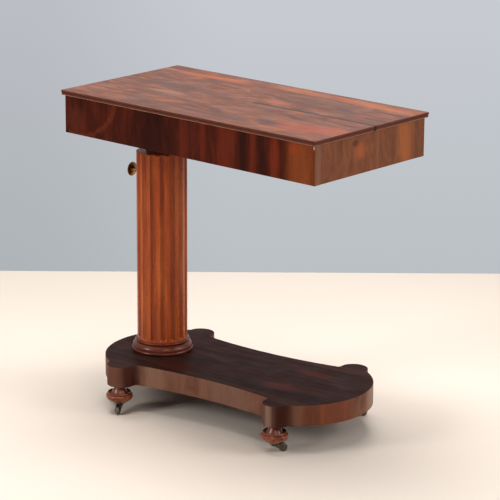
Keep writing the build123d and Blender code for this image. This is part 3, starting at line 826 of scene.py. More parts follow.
@dataclass
class SlottedScrew:
    """A countersunk wood screw with a slot across its head, turned by hand to its own angle."""

    shank: float = 2.2
    head: float = 4.6
    length: float = 52.0
    slot_width: float = 1.0
    slot_depth: float = 1.1
    point_share: float = 0.06
    sides: int = 32
    seed: int = 3

    def tree(self, sizes: dict[str, Any]) -> Tree:
        """Builds the screw's tree once: a turned body, less the slot, on each seat.

        Args:
            sizes: The first value of each input.

        Returns:
            The tree. The head looks along +Z before it is turned.
        """
        if "slotted_screw" in bpy.data.node_groups:
            return bpy.data.node_groups["slotted_screw"]
        tree, given = new_shape_tree("slotted_screw", sizes)
        shank, head, length = (
            given[name] for name in ("Shank Radius", "Head Radius", "Length")
        )
        bar = {"Vertices": self.sides, "Side Segments": 3, "Radius": 1.0, "Depth": 3.0}
        body = add(tree, "GeometryNodeMeshCylinder", {"fill_type": "NGON"}, bar)
        x, y, z = split(tree, add(tree, "GeometryNodeInputPosition").outputs[0])
        # Rows from the point up: point, end of the shank, under the head, the head's rim.
        row = z + 1.5
        past_point, past_shank, at_rim = (row.by("GREATER_THAN", i) for i in (0.5, 1.5, 2.5))
        flare = head - shank
        point = shank * self.point_share
        radius = at_rim * flare + past_point * (shank - point) + point
        plain = length - shank - flare
        height = at_rim * flare + past_shank * plain + past_point * shank - length
        shaped = pushed(tree, body.outputs["Mesh"], x * radius, y * radius, height)
        size = join(tree, head * 3.0, given["Slot Width"], given["Slot Depth"] * 2.0)
        slot = add(tree, "GeometryNodeMeshCube", {}, {"Size": size})
        spread = {2: 0.0, 3: pi, "Seed": given["Seed"]}
        angle = add(tree, "FunctionNodeRandomValue", {"data_type": "FLOAT"}, spread)
        spin = join(tree, 0.0, 0.0, angle.outputs[1])
        own, facing = (
            add(tree, "FunctionNodeEulerToRotation", {}, {0: turn}).outputs[0]
            for turn in (spin, given["Facing"])
        )
        turned = add(
            tree, "FunctionNodeRotateRotation", {"rotation_space": "LOCAL"}, {0: facing, 1: own}
        )
        end_tree(tree, given, carved(tree, shaped, slot.outputs["Mesh"]), turned.outputs[0])
        return tree

    def drive(
        self, name: str, seats: list[Seat], facing: Place, finish: bpy.types.Material, body: str
    ) -> None:
        """Makes a row of screws and puts them in a CAD node's place.

        Args:
            name: The CAD node that they stand for; the new piece's name adds _slotted.
            seats: Each head's middle, and its share of the full length.
            facing: The turn that brings the heads from +Z to where they look.
            finish: The screws' material.
            body: The body that they ride on.
        """
        sizes = {
            "Shank Radius": self.shank * MM,
            "Head Radius": self.head * MM,
            "Length": self.length * MM,
            "Slot Width": self.slot_width * MM,
            "Slot Depth": self.slot_depth * MM,
            "Facing": facing,
            "Seed": self.seed,
            "Finish": finish,
        }
        stand_for(grow(f"{name}_slotted", self.tree(sizes), sizes, seats), name, body)


@dataclass
class Coil:
    """A spring wound from round wire at an even pitch, its ends cut square."""

    wire: float = 0.45
    radius: float = 5.2
    length: float = 6.9
    turns: float = 4.0
    turn_steps: int = 36
    wire_sides: int = 16

    def wind(self, name: str, seat: Seat, finish: bpy.types.Material) -> bpy.types.Object:
        """Winds the spring from its seat towards -X, as a wire swept along a spiral.

        Args:
            name: The new piece's name.
            seat: The middle of the spring's first turn.
            finish: The wire's material.

        Returns:
            The spring.
        """
        sizes = {
            "Wire Radius": self.wire * MM,
            "Coil Radius": self.radius * MM,
            "Length": self.length * MM,
            "Turns": self.turns,
            "Facing": (0.0, -pi / 2, 0.0),
            "Finish": finish,
        }
        tree, given = new_shape_tree("wire_spring", sizes)
        spiral = {
            "Resolution": self.turn_steps,
            "Rotations": given["Turns"],
            "Start Radius": given["Coil Radius"],
            "End Radius": given["Coil Radius"],
            "Height": given["Length"],
        }
        path = add(tree, "GeometryNodeCurveSpiral", {}, spiral)
        ring = {"Resolution": self.wire_sides, "Radius": given["Wire Radius"]}
        wire = add(tree, "GeometryNodeCurvePrimitiveCircle", {}, ring)
        sweep = {"Curve": path.outputs[0], "Profile Curve": wire.outputs[0], "Fill Caps": True}
        swept = add(tree, "GeometryNodeCurveToMesh", {}, sweep)
        facing = add(tree, "FunctionNodeEulerToRotation", {}, {0: given["Facing"]})
        end_tree(tree, given, swept.outputs[0], facing.outputs[0])
        return grow(name, tree, sizes, [seat])


class SubAssembly:
    """A group of pieces that are made and dressed together."""

    def dress(self, finish: bpy.types.Material, *nodes: str) -> None:
        """Gives CAD nodes a finish.

        Args:
            finish: The material.
            nodes: The CAD nodes' names.
        """
        for node in nodes:
            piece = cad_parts[node]
            if not piece.material_slots:
                piece.data.materials.append(finish)
            for seat in piece.material_slots:
                seat.material = finish
            LOG.info("%s: %s", node, finish.name)

    def build(self) -> None:
        """Makes and dresses the pieces; each sub-assembly has its own way."""


@dataclass
class Tabletop(SubAssembly):
    """The two top boards, whose French polish has faded to a pinkish red along orange streaks.

    Each cloud has its place and its reach along the top's length and depth, in millimetres, its
    colour, its strength and its lean in degrees.
    """

    face: float = 773.0
    cloud_depth: float = 90.0
    clouds: tuple[tuple[float, float, float, float, str, float, float], ...] = (
        (320.0, -112.0, 140.0, 55.0, "a84a26", 0.6, 12.0),
        (187.0, -128.0, 58.0, 26.0, "4a2820", 0.75, -20.0),
        (110.0, 100.0, 150.0, 34.0, "5a3b2a", 0.6, 8.0),
        (238.0, 86.0, 44.0, 18.0, "4a3022", 0.6, -10.0),
        (70.0, 44.0, 60.0, 24.0, "a4522e", 0.55, -25.0),
        (-215.0, 153.0, 170.0, 20.0, "b85824", 0.6, 2.0),
        (60.0, 172.0, 150.0, 24.0, "b0602c", 0.5, -2.0),
        (-240.0, 15.0, 190.0, 28.0, "503024", 0.45, 3.0),
        (-186.0, -44.0, 70.0, 18.0, "9a7058", 0.55, 0.0),
        (290.0, 160.0, 160.0, 28.0, "bc6630", 0.6, -6.0),
    )

    def build(self) -> None:
        """Dresses both boards."""
        # Cuban mahogany, planed and French polished. Long orange and plum clouds under a soft
        # gloss that takes on the pale room, with rubbed tan edges.
        polish = TopTimber(
            name="mahogany_top_french_polished",
            dark="4f2a1b",
            middle="6f3e26",
            light="9e582b",
            turn=TOP_TURN,
            figure=38.0,
            figure_reach=4.0,
            figure_warp=2.0,
            streak=5.0,
            streak_depth=0.18,
            contrast=0.24,
            specular=0.2,
            worn="8f5f4a",
            worn_width=1.5,
            worn_share=0.4,
            patches=tuple(
                Patch((x, y, self.face), (long, deep, self.cloud_depth), code, share, lean)
                for x, y, long, deep, code, share, lean in self.clouds
            ),
        )
        self.dress(polish.make(), "top_board_front", "top_board_rear")


@dataclass
class ApronBox(SubAssembly):
    """The veneered box under the top, with the bearers, glue blocks and screws inside it.

    A bearer has its middle, the screws' distance from it and the heads' height. An end stripe has
    its place across and up, its reaches, colour, strength and rag; a long stripe has its ring too.
    """

    bearers: tuple[Place, ...] = ((-255.0, 35.0, 716.0), (213.5, 15.0, 733.0))
    screw_depth: float = 132.5
    bite: float = 7.0
    underside: float = 761.0
    end: float = 383.0
    face: float = -192.5
    depth: float = 90.0
    end_stripes: tuple[tuple[float, float, float, float, str, float, float], ...] = (
        (-180.0, 716.0, 12.0, 120.0, "967262", 0.45, 1.1),
        (-36.0, 722.0, 26.0, 26.0, "b4623a", 0.7, 0.6),
        (-54.0, 743.0, 13.0, 9.0, "5a382a", 0.8, 1.1),
        (24.0, 716.0, 5.0, 120.0, "9c7050", 0.35, 1.1),
        (80.0, 716.0, 14.0, 120.0, "6a4430", 0.5, 1.1),
        (120.0, 716.0, 32.0, 120.0, "b46a3e", 0.65, 1.1),
        (164.0, 716.0, 11.0, 120.0, "664030", 0.5, 1.1),
    )
    long_stripes: tuple[tuple[float, float, float, float, str, float, float, float], ...] = (
        (-345.0, 762.0, 118.0, 92.0, "7a3822", 0.5, 0.1, 0.3),
        (-350.0, 700.0, 34.0, 46.0, "6a3020", 0.5, 0.0, 1.1),
        (-100.0, 716.0, 74.0, 200.0, "2c100b", 0.75, 0.0, 0.5),
        (-5.0, 716.0, 14.0, 200.0, "6e2a1b", 0.7, 0.0, 0.5),
        (55.0, 720.0, 13.0, 120.0, "7c2e1a", 0.55, 0.0, 0.6),
        (125.0, 716.0, 34.0, 160.0, "7a301c", 0.65, 0.0, 1.1),
        (176.0, 716.0, 13.0, 160.0, "2e120c", 0.75, 0.0, 0.6),
        (204.0, 716.0, 12.0, 120.0, "7e321e", 0.5, 0.0, 0.6),
        (232.0, 716.0, 13.0, 160.0, "32140e", 0.75, 0.0, 0.6),
        (268.0, 722.0, 18.0, 76.0, "8a361e", 0.65, 0.0, 0.6),
        (345.0, 716.0, 54.0, 300.0, "944c28", 0.9, 0.0, 0.25),
        (326.0, 744.0, 18.0, 16.0, "b0461e", 0.65, 0.0, 1.1),
    )

    def build(self) -> None:
        """Dresses the four rails, the bearers and the blocks, and drives the screws."""
        self.dress_rails()
        # Red pine, sawn and left bare inside the box: pale brown with plain straight grain.
        pine = Timber(
            name="pine_sawn",
            dark="7a5a3c",
            middle="98744c",
            light="b08a5c",
            along=Along.DEPTH,
            turn=TOP_TURN,
            figure=18.0,
            roughness=0.7,
            specular=0.3,
            worn="b8946a",
        ).make()
        blocks = (f"corner_block_{a}_{b}" for a in ("front", "rear") for b in ("left", "right"))
        self.dress(pine, "pivot_bearer", "end_bearer", *blocks)
        tips = self.underside + self.bite
        longest = tips - min(level for _, _, level in self.bearers)
        seats = [
            Seat(in_top_frame(middle + x, y, level), (tips - level) / longest)
            for middle, reach, level in self.bearers
            for x in (-reach, reach)
            for y in (-self.screw_depth, self.screw_depth)
        ]
        # Iron screws, blued by age in the dry wood.
        iron = Metal("iron_screws_blued", "6e6862", "38302a", 0.6, 0.45, mottle=2.0).make()
        SlottedScrew(length=longest).drive("top_screws", seats, (pi, 0.0, 0.0), iron, "top")

    def dress_rails(self) -> None:
        """Gives the rails their veneer, with the end veneer carried round the corners."""
        # The end rails' veneer, where light has bleached it to a brown orange, with a curled
        # flame and fine upright stripes.
        end_look = Timber(
            name="mahogany_veneer_end_rails",
            dark="68402c",
            middle="825038",
            light="9a5e3c",
            along=Along.HEIGHT,
            turn=TOP_TURN,
            figure=26.0,
            figure_reach=2.4,
            streak=2.4,
            streak_depth=0.16,
            pore_depth=0.15,
            contrast=0.3,
            roughness=0.36,
            specular=0.08,
            worn="a07a5c",
            patches=tuple(
                Patch((self.end, y, z), (self.depth, wide, high), code, share, rag=rag)
                for y, z, wide, high, code, share, rag in self.end_stripes
            ),
        )
        self.dress(end_look.make(), "apron_left", "apron_right")
        # Flame mahogany veneer with its grain upright, polished and darkened by handling: nearly
        # black between dull red stripes, with a near-white mark at the top of one end and a
        # near-black one along the foot of the other.
        stripes = tuple(
            Patch((x, self.face, z), (wide, self.depth, high), code, share, 0.0, ring, rag)
            for x, z, wide, high, code, share, ring, rag in self.long_stripes
        )
        corner_marks = (
            Patch((382.0, self.face, 755.0), (3.5, 8.0, 5.0), "dcc8b0", 0.9, rag=0.3),
            Patch((-381.0, self.face, 674.0), (9.0, 30.0, 6.0), "160806", 0.95, rag=0.3),
        )
        long_look = Timber(
            name="mahogany_veneer_long_rails",
            dark="3c150c",
            middle="4e1d11",
            light="642818",
            along=Along.HEIGHT,
            turn=TOP_TURN,
            figure=24.0,
            figure_reach=5.0,
            figure_warp=0.7,
            streak=3.0,
            streak_depth=0.25,
            contrast=0.2,
            roughness=0.34,
            specular=0.05,
            worn="8a5a44",
            worn_share=0.4,
            other=OtherFace(end_look, (cos(TOP_TURN), sin(TOP_TURN), 0.0), True),
            patches=stripes + corner_marks,
        )
        self.dress(long_look.make(), "apron_front", "apron_rear")


@dataclass
class PivotGear(SubAssembly):
    """The iron plates, bolts and bush on which the top turns, and the post under them."""

    pivot: float = -255.0
    wear_reach: float = 43.0
    wear_level: float = 713.0
    cap_reach: float = 17.0
    cap_level: float = 712.7

    def build(self) -> None:
        """Dresses the pivot's metal and the post, and drives the plates' screws."""
        # Wrought iron plate, hammered and oiled black-brown.
        iron = Metal("iron_plate_oiled", "282422", "141210", 0.7, 0.55).make()
        self.dress(iron, "wear_plate", "post_cap_plate", "pivot_bolt", "pivot_washer")
        self.dress(iron, "tie_bolt", "tie_washer", "tie_nut")
        # Brass, turned and left bright where the pivot bolt keeps it clean.
        self.dress(Metal("brass_turned", "b8924e", "6a4e28", 0.5, 0.3).make(), "pivot_bush")
        # Mahogany coloured near black, as painted shade for the shade that the post stands in under
        # the top, so that only a soft sheen shows.
        post = Timber(
            name="mahogany_post_painted_shade",
            dark="0e0b0a",
            middle="191311",
            light="261b17",
            along=Along.HEIGHT,
            roughness=0.4,
            specular=0.15,
            worn="3c2c24",
        )
        self.dress(post.make(), "post")
        self.dress(Leather().make(), "post_buffer")
        # Iron screws whose heads are rubbed grey by the plates that turn over them.
        bright = Metal("iron_plate_screws_rubbed", "7c7670", "403832", 0.5, 0.4, mottle=2.0).make()
        screw = SlottedScrew(shank=2.0, head=4.2, length=24.0, slot_width=0.9, slot_depth=1.0)
        corners = [(x, y) for x in (-1.0, 1.0) for y in (-1.0, 1.0)]
        reach = self.wear_reach
        wear = [
            Seat(in_top_frame(self.pivot + x * reach, y * reach, self.wear_level))
            for x, y in corners
        ]
        screw.drive("wear_plate_screws", wear, (pi, 0.0, 0.0), bright, "top")
        reach = self.cap_reach * MM
        level = self.cap_level * MM
        cap = [Seat((COLUMN[0] + x * reach, COLUMN[1] + y * reach, level)) for x, y in corners]
        screw.drive("cap_plate_screws", cap, (0.0, 0.0, 0.0), bright, "post")


@dataclass
class FlutedColumn(SubAssembly):
    """The fluted shaft, whose shape follows a rule, and the turned moulding round its foot.

    Sizes are in millimetres. The shaft's lattice has so many rows for its round-ended flutes'
    feet, for the plain run above and for the rounded top edge.
    """

    radius: float = 61.0
    tenon_radius: float = 50.0
    tenon_foot: float = 119.0
    foot: float = 149.8
    top: float = 615.0
    top_round: float = 3.0
    flutes: int = 16
    flute_radius: float = 9.0
    flute_depth: float = 5.0
    flute_turn: float = -4.0
    flute_foot_gap: float = 0.3
    bore_side: float = 54.6
    bore_floor: float = 151.0
    seat_radius: float = 13.0
    seat_depth: float = 9.0
    bolt_hole: float = 6.1
    catch_level: float = 555.0
    catch_hole: float = 9.1
    plate_hole: float = 14.1
    plate_seat: float = 54.8
    overcut: float = 1.0
    points_per_flute: int = 24
    foot_rows: int = 12
    plain_rows: int = 9
    round_rows: int = 8

    def hollow(
        self, tree: Tree, radius: float, start: float, end: float, sideways: bool
    ) -> Socket:
        """A round cutter up the column's axis, or out from it towards the catch.

        Args:
            tree: The shaft's tree.
            radius: The cutter's radius in millimetres.
            start: Where it starts, up from the floor or out from the axis.
            end: Where it ends.
            sideways: Whether it runs out along -X at the catch's height.

        Returns:
            The cutter's mesh.
        """
        bar = {"Vertices": 48, "Radius": radius * MM, "Depth": (end - start) * MM}
        mesh = add(tree, "GeometryNodeMeshCylinder", {"fill_type": "NGON"}, bar)
        middle = (start + end) / 2 * MM
        move = {
            "Geometry": mesh.outputs["Mesh"],
            "Translation": (-middle, 0.0, self.catch_level * MM) if sideways else (0.0, 0.0, middle),
            "Rotation": (0.0, pi / 2 if sideways else 0.0, 0.0),
        }
        return add(tree, "GeometryNodeTransform", {}, move).outputs[0]

    def fluted(self, tree: Tree, given: dict[str, Number]) -> Socket:
        """Pushes a lattice onto the fluted form.

        Args:
            tree: The shaft's tree.
            given: The tree's inputs, by name.

        Returns:
            The solid shaft.
        """
        shaft, tenon, tenon_foot, foot, top, top_round = (
            given[name]
            for name in (
                "Shaft Radius", "Tenon Radius", "Tenon Foot", "Shaft Foot", "Shaft Top", "Top Round"
            )
        )
        count, cutter, depth, turn, gap = (
            given[name]
            for name in ("Flutes", "Flute Radius", "Flute Depth", "Flute Turn", "Flute Foot Gap")
        )
        rows = 2 + self.foot_rows + self.plain_rows + self.round_rows
        bar = {
            "Vertices": count * self.points_per_flute,
            "Side Segments": rows,
            "Radius": 1.0,
            "Depth": float(rows),
        }
        lattice = add(tree, "GeometryNodeMeshCylinder", {"fill_type": "NGON"}, bar)
        x, y, z = split(tree, add(tree, "GeometryNodeInputPosition").outputs[0])
        row = z + rows / 2
        off_tenon, on_shaft = (row.by("GREATER_THAN", level) for level in (0.5, 1.5))
        plain_start = 2 + self.foot_rows
        up_foot, up_plain, up_round = (
            row.by("MULTIPLY_ADD", 1 / number, -start / number, clamped=True)
            for start, number in (
                (2, self.foot_rows),
                (plain_start, self.plain_rows),
                (plain_start + self.plain_rows, self.round_rows),
            )
        )
        # Each row's height, and the plain body's radius there
        quarter_turn = up_round * (pi / 2)
        rounded = quarter_turn.by("COSINE") * top_round + shaft - top_round
        body = on_shaft * (rounded - tenon) + tenon
        flute_foot = foot + gap + cutter
        height = off_tenon * (foot - tenon_foot) + tenon_foot + up_foot * (gap + cutter)
        height = up_plain * (top - flute_foot - top_round) + height
        height = quarter_turn.by("SINE") * top_round + height
        # The nearest flute, and the angle from its middle, with more points inside the flute
        pitch = (count / (2 * pi)).by("POWER", -1.0)
        turns = y.by("ARCTAN2", x) / pitch
        nearest = turns.by("ROUND")
        off = turns - nearest
        centre = shaft - depth + cutter
        rim_cosine = (centre * centre + shaft * shaft - cutter * cutter) / (centre * shaft * 2.0)
        rim = rim_cosine.by("ARCCOSINE")
        off_share = off.by("ABSOLUTE")
        inner = off_share.by("MULTIPLY", 3.0, clamped=True) * rim
        outer = off_share.by("MULTIPLY_ADD", 6.0, -2.0, clamped=True)
        from_middle = outer * (pitch * 0.5 - rim) + inner
        angle = nearest * pitch + from_middle * off.by("SIGN") + turn
        # Where the flute's round cutter, a ball at its foot, reaches at that angle
        dip = (height - flute_foot).by("MINIMUM", 0.0)
        side = centre * from_middle.by("SINE")
        left = cutter * cutter - dip * dip - side * side
        wall = centre * from_middle.by("COSINE") - left.by("MAXIMUM", 0.0).by("SQRT")
        cuts = left.by("GREATER_THAN", 0.0) * on_shaft
        reach = cuts * (wall.by("MINIMUM", body) - body) + body
        sine, cosine = angle.by("SINE"), angle.by("COSINE")
        return pushed(tree, lattice.outputs["Mesh"], reach * cosine, reach * sine, height)

    def tree(self, sizes: dict[str, Any]) -> Tree:
        """Builds the shaft's tree: the fluted form, less its holes.

        Args:
            sizes: The first value of each input.

        Returns:
            The tree. Its seat is the foot of the column's axis on the floor.
        """
        tree, given = new_shape_tree("fluted_shaft", sizes)
        side, floor = given["Bore Side"], given["Bore Floor"]
        high = given["Shaft Top"] - floor + 10 * self.overcut * MM
        size = join(tree, side, side, high)
        bore = add(tree, "GeometryNodeMeshCube", {}, {"Size": size}).outputs["Mesh"]
        middle = join(tree, 0.0, 0.0, floor + high * 0.5)
        raised = add(tree, "GeometryNodeTransform", {}, {"Geometry": bore, "Translation": middle})
        seat_floor, more = self.bore_floor - self.seat_depth, self.overcut
        out = self.radius + more
        shape = carved(
            tree,
            self.fluted(tree, given),
            raised.outputs[0],
            self.hollow(tree, self.seat_radius, seat_floor, self.bore_floor + more, False),
            self.hollow(tree, self.bolt_hole, self.tenon_foot - more, seat_floor + more, False),
            self.hollow(tree, self.catch_hole, self.bore_side / 2 - more, out, True),
            self.hollow(tree, self.plate_hole, self.plate_seat, out, True),
        )
        end_tree(tree, given, shape)
        return tree

    def build(self) -> None:
        """Makes the shaft, and dresses it and the moulding."""
        # Cuban mahogany, turned, fluted with a scratch stock and polished: a warm orange brown,
        # with painted shade down the flutes and near the top, and painted highlights down its edges.
        shaft = FlutedTimber(
            name="mahogany_column_fluted",
            axis=(COLUMN[0] / MM, COLUMN[1] / MM),
            flute_bottom=self.radius - self.flute_depth,
            flute_rim=self.radius - 0.3,
            dark="963c1a",
            middle="c25a26",
            light="da7838",
            along=Along.HEIGHT,
            figure=22.0,
            figure_warp=0.3,
            contrast=0.3,
            roughness=0.28,
            specular=0.22,
            worn="c88c66",
            worn_width=1.0,
            worn_share=0.45,
            patches=(
                # Painted shade under the top, and on the side of the column turned from the light
                # near the top.
                Patch((-254.0, 22.0, 600.0), (90.0, 90.0, 46.0), "7a2c16", 0.6),
                Patch((-215.0, 60.0, 560.0), (44.0, 40.0, 110.0), "5c3420", 0.55),
                # Painted highlights: a pale sheen low on the left edge, and a bright strip down the
                # right edge.
                Patch((-300.0, -20.0, 190.0), (40.0, 40.0, 90.0), "9c6450", 0.4),
                Patch((-194.0, 31.0, 400.0), (12.0, 14.0, 260.0), "e09060", 0.5),
            ),
        )
        sizes = {
            "Shaft Radius": self.radius * MM,
            "Tenon Radius": self.tenon_radius * MM,
            "Tenon Foot": self.tenon_foot * MM,
            "Shaft Foot": self.foot * MM,
            "Shaft Top": self.top * MM,
            "Top Round": self.top_round * MM,
            "Flutes": self.flutes,
            "Flute Radius": self.flute_radius * MM,
            "Flute Depth": self.flute_depth * MM,
            "Flute Turn": radians(self.flute_turn),
            "Flute Foot Gap": self.flute_foot_gap * MM,
            "Bore Side": self.bore_side * MM,
            "Bore Floor": self.bore_floor * MM,
            "Finish": shaft.make(),
        }
        seat = Seat((COLUMN[0], COLUMN[1], 0.0))
        stand_for(grow("column_fluted", self.tree(sizes), sizes, [seat]), "column", "base")
        # Mahogany, turned on the lathe and French polished: darker than the shaft, and glossier.
        turned = Timber(
            name="mahogany_moulding_turned",
            dark="4c1a0c",
            middle="742e14",
            light="924424",
            roughness=0.3,
            specular=0.3,
            coat=0.12,
            figure=20.0,
            worn="9c6444",
        )
        self.dress(turned.make(), "column_moulding")


@dataclass
class Platform(SubAssembly):
    """The waisted platform: plum-black on top, brown veneer round its sides.

    An edge tone has its place and its reach in plan, in millimetres, its colour, strength and rag.
    A few of them are painted shade and a painted highlight.
    """

    edge_level: float = 94.0
    edge_height: float = 200.0
    edge_tones_and_light: tuple[tuple[float, float, float, float, str, float, float], ...] = (
        (310.0, -60.0, 64.0, 80.0, "7e4835", 0.85, 0.5),
        (266.0, -94.0, 34.0, 34.0, "663a2a", 0.75, 0.5),
        (303.0, -82.0, 24.0, 6.0, "a05638", 0.3, 0.5),
        (328.0, -25.0, 24.0, 6.0, "a05638", 0.3, 0.5),
        (206.0, -160.0, 56.0, 40.0, "5e4236", 0.75, 0.4),
        # Painted shade on the right ear's side turned from the light, and a painted highlight on its
        # other side.
        (232.0, -150.0, 32.0, 30.0, "3a1c14", 0.9, 0.4),
        (203.0, -167.0, 12.0, 12.0, "9c8070", 0.6, 0.4),
        (320.0, 84.0, 40.0, 40.0, "a88c7a", 0.7, 0.5),
        (60.0, -95.0, 110.0, 40.0, "8c6c5c", 0.5, 1.1),
        (-170.0, -116.0, 46.0, 30.0, "9c7864", 0.5, 0.5),
        (-262.0, -150.0, 50.0, 40.0, "644236", 0.6, 0.4),
        # Painted shade in the hollow corner where the left ear meets the waist.
        (-226.0, -140.0, 24.0, 34.0, "402018", 0.8, 0.4),
    )

    def build(self) -> None:
        """Dresses the platform."""
        # Veneer bent round the edge with its grain upright, polished and faded, with painted shade
        # and a painted highlight among its tones.
        edge = Timber(
            name="mahogany_platform_edge",
            dark="5c3a30",
            middle="7c5646",
            light="906250",
            along=Along.HEIGHT,
            figure=46.0,
            figure_reach=2.0,
            figure_warp=0.8,
            streak=2.5,
            streak_depth=0.14,
            pore_depth=0.14,
            contrast=0.3,
            patches=tuple(
                Patch((x, y, self.edge_level), (a, b, self.edge_height), code, share, rag=rag)
                for x, y, a, b, code, share, rag in self.edge_tones_and_light
            ),
        )
        # Mahogany veneered on its top, darkened to plum by wax and dust.
        veneer = Timber(
            name="mahogany_platform_waxed",
            dark="2c1a16",
            middle="3e2823",
            light="52322a",
            roughness=0.42,
            specular=0.02,
            worn="7a5444",
            worn_width=1.4,
            other=OtherFace(edge, (0.0, 0.0, 1.0), False),
            patches=(
                Patch((147.0, -37.0, 119.0), (60.0, 30.0, 60.0), "6a3426", 0.6),
                Patch((160.0, 80.0, 119.0), (60.0, 24.0, 60.0), "6a3426", 0.6),
                # A painted reflection of the column's moulding in the waxed top.
                Patch((-150.0, -60.0, 119.0), (70.0, 40.0, 60.0), "4c1c16", 0.6),
            ),
        )
        self.dress(veneer.make(), "platform")


@dataclass
class FeetAndCasters(SubAssembly):
    """Four turned feet, each on a brass caster."""

    def build(self) -> None:
        """Dresses the feet and the casters."""
        # Mahogany turned and French polished to a wet gloss.
        turned = Timber(
            name="mahogany_feet_turned",
            dark="5a2212",
            middle="8a4428",
            light="aa6240",
            roughness=0.26,
            specular=0.32,
            coat=0.12,
            figure=14.0,
            worn="8a5038",
        ).make()
        # Brass cast in sand, brown-black with age where no hand rubs it.
        cup = Metal("brass_cup_blackened", "4a4238", "1e1a16", 0.8, 0.45, mottle=3.0).make()
        horn = Metal("brass_cast_tarnished", "5c5448", "26221e", 0.8, 0.42, mottle=3.0).make()
        wheel = Metal("brass_wheel_worn", "6e665a", "262220", 0.8, 0.45, mottle=3.0).make()
        for corner in CORNERS:
            self.dress(turned, f"foot_{corner}")
            self.dress(cup, f"caster_cup_{corner}")
            self.dress(horn, f"caster_horn_{corner}")
            self.dress(wheel, f"caster_wheel_{corner}", f"caster_axle_{corner}")


@dataclass
class HeightCatch(SubAssembly):
    """The sprung catch that holds the post, with its turned knob."""

    level: float = 555.0
    plate_face: float = 57.3
    screw_circle: float = 11.3
    screw_count: int = 3
    spring_seat: float = 54.8
    bolt_travel: float = 3.0
    spring_ease: float = 0.05

    def fit_spring(self, steel: bpy.types.Material) -> None:
        """Winds the spring behind the plate, where the drawn bolt's collar squeezes it.

        Args:
            steel: The spring's material.
        """
        coil = Coil()
        start = (self.spring_seat - coil.wire - coil.length) * MM
        level = self.level * MM
        seat = Seat((COLUMN[0] - start, COLUMN[1], level))
        spring = coil.wind("catch_spring_coil", seat, steel)
        stand_for(spring, "catch_spring", "base")
        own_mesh(spring)

    def build(self) -> None:
        """Dresses the catch, winds its spring and drives its plate's screws."""
        # Bronze, turned and browned by hands, golden where it is rubbed.
        bronze = Metal("bronze_knob_turned", "7c5a2c", "2c2016", 0.75, 0.3, mottle=7.0).make()
        # Steel rod and wire, drawn bright and greyed by old oil.
        steel = Metal("steel_catch_drawn", "8c8880", "4c443c", 0.5, 0.35).make()
        # Brass sheet and tube, filed flat and dulled to a grey yellow.
        brass = Metal("brass_catch_plate", "8c8068", "4a4438", 0.6, 0.35).make()
        self.dress(bronze, "catch_knob")
        self.dress(steel, "catch_bolt")
        self.fit_spring(steel)
        self.dress(brass, "catch_plate", "catch_barrel")
        x = COLUMN[0] - self.plate_face * MM
        turns = [2 * pi * i / self.screw_count - pi / 2 for i in range(self.screw_count)]
        circle = self.screw_circle * MM
        seats = [
            Seat((x, COLUMN[1] + circle * cos(turn), self.level * MM + circle * sin(turn)))
            for turn in turns
        ]
        screw = SlottedScrew(shank=1.1, head=2.1, length=11.0, slot_width=0.5, slot_depth=0.5)
        screw.drive("catch_plate_screws", seats, (0.0, -pi / 2, 0.0), brass, "base")


@dataclass(frozen=True)
class Lamp:
    """A soft square lamp: where it hangs and how wide it is in metres, and its watts."""

    name: str
    place: Place
    side: float
    power: float

    def hang(self, aim: Place) -> None:
        """Hangs the lamp, turned towards a place.

        Args:
            aim: The place.
        """
        light = bpy.data.lights.new(self.name, "AREA")
        light.shape = "SQUARE"
        light.size = self.side
        light.energy = self.power
        seat = bpy.data.objects.new(self.name, light)
        seat.location = self.place
        towards = Vector(aim) - Vector(self.place)
        seat.rotation_euler = towards.to_track_quat("-Z", "Y").to_euler()
        bpy.context.scene.collection.objects.link(seat)
        LOG.info("lamp %s: %.0f W", self.name, self.power)


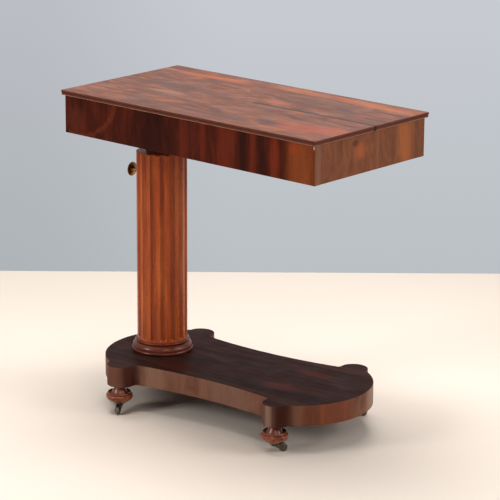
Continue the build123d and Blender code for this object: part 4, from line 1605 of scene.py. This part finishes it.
@dataclass
class Studio:
    """The pale floor, the backdrop's colour, the soft lamps and the camera."""

    camera_place: Place = (3.3138, -4.4346, 1.9742)
    yaw: float = 2.2087
    pitch: float = 0.2744
    roll: float = 0.0057
    focal: float = 2455.84
    image: float = 500.0
    floor_back: float = 1.241
    floor_side: float = 2.4
    floor_front: float = 2.6
    floor_colour: str = "f8ecdf"
    floor_worn: str = "f5e8db"
    backdrop_low: str = "b9bfc2"
    backdrop_high: str = "c8cbd2"
    room_light: float = 0.1
    room_colour: tuple[float, float, float, float] = (1.0, 0.86, 0.74, 1.0)
    aim: Place = (0.0, 0.0, 0.4)
    lamps: tuple[Lamp, ...] = (
        Lamp("overhead", (-0.3, 0.22, 3.0), 2.1, 88.0),
        Lamp("right", (3.0, 1.2, 1.9), 1.6, 41.0),
        Lamp("front_left", (-1.8, -3.2, 1.9), 1.2, 52.0),
        Lamp("front_right", (2.2, -1.6, 2.4), 1.2, 14.0),
    )

    def place_camera(self) -> None:
        """Sets the camera at the photographed angle."""
        lens = bpy.data.cameras.new("camera")
        lens.sensor_width = 36.0
        lens.sensor_fit = "HORIZONTAL"
        lens.lens = self.focal / self.image * lens.sensor_width
        lens.clip_end = 50.0
        level = cos(self.pitch)
        ahead = Vector((cos(self.yaw) * level, sin(self.yaw) * level, -sin(self.pitch)))
        right = Vector((sin(self.yaw), -cos(self.yaw), 0.0))
        down = ahead.cross(right)
        turned_right = cos(self.roll) * right - sin(self.roll) * down
        turned_down = sin(self.roll) * right + cos(self.roll) * down
        turn = Matrix((turned_right, -turned_down, -ahead)).transposed().to_4x4()
        seat = bpy.data.objects.new("camera", lens)
        seat.matrix_world = Matrix.Translation(self.camera_place) @ turn
        bpy.context.scene.collection.objects.link(seat)
        bpy.context.scene.camera = seat

    def lay_floor(self) -> None:
        """Lays a matt floor whose far edge meets the backdrop where the photograph has it."""
        ahead = Vector((cos(self.yaw), sin(self.yaw), 0.0))
        right = Vector((sin(self.yaw), -cos(self.yaw), 0.0))
        near, far, side = -self.floor_front, self.floor_back, self.floor_side
        corners = ((near, -side), (near, side), (far, side), (far, -side))
        mesh = bpy.data.meshes.new("floor")
        places = [tuple(ahead * along + right * across) for along, across in corners]
        mesh.from_pydata(places, [], [(0, 1, 2, 3)])
        floor = bpy.data.objects.new("floor", mesh)
        bpy.context.scene.collection.objects.link(floor)
        # Boards under a pale matt paint, faintly clouded by feet.
        material, sheet = new_material("painted_floor_matt")
        wear = sheet.noise("scuffs", sheet.own(), scale=3.0)
        colour = sheet.mix(wear, self.floor_colour, self.floor_worn)
        sheet.close({"Base Color": colour, "Roughness": 0.9, "Specular IOR Level": 0.1})
        mesh.materials.append(material)

    def light_room(self) -> None:
        """Lights the room evenly and shows the backdrop's colour to the camera and to gloss."""
        world = bpy.data.worlds.new("room")
        world.use_nodes = True
        bpy.context.scene.world = world
        tree = world.node_tree
        tree.nodes.clear()
        sheet = Sheet(tree)
        seat = sheet.own("Generated")
        height = sheet.spread(split(tree, seat)[2], -0.29, -0.17)
        backdrop = sheet.mix(height, self.backdrop_low, self.backdrop_high)
        across = sheet.dot(seat, (sin(self.yaw), -cos(self.yaw), 0.0))
        shade = sheet.spread(across, -0.1, 0.0, 0.86, 1.0, "SMOOTHSTEP")
        ray = sheet.node("ShaderNodeLightPath").outputs
        seen = Number(tree, ray["Is Camera Ray"])
        for kind in ("Is Glossy Ray", "Is Transmission Ray"):
            seen = seen.by("MAXIMUM", Number(tree, ray[kind]))
        light, shown = (
            sheet.node("ShaderNodeBackground", {}, {"Color": colour, "Strength": strength})
            for colour, strength in ((self.room_colour, self.room_light), (backdrop, shade))
        )
        sides = {0: seen, 1: light.outputs[0], 2: shown.outputs[0]}
        both = sheet.node("ShaderNodeMixShader", {}, sides)
        sheet.node("ShaderNodeOutputWorld", {}, {"Surface": both.outputs[0]})

    def build(self) -> None:
        """Makes the camera, the floor, the room and the lamps."""
        self.place_camera()
        self.lay_floor()
        self.light_room()
        for lamp in self.lamps:
            lamp.hang(self.aim)
        bpy.context.scene.view_settings.view_transform = "Standard"


def main() -> None:
    """Builds the table from the floor up."""
    logging.basicConfig(level=logging.INFO, format="%(message)s")
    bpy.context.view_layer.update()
    Studio().build()
    for part in (
        FeetAndCasters(),
        Platform(),
        FlutedColumn(),
        HeightCatch(),
        PivotGear(),
        ApronBox(),
        Tabletop(),
    ):
        part.build()


if __name__ == "__main__":
    main()
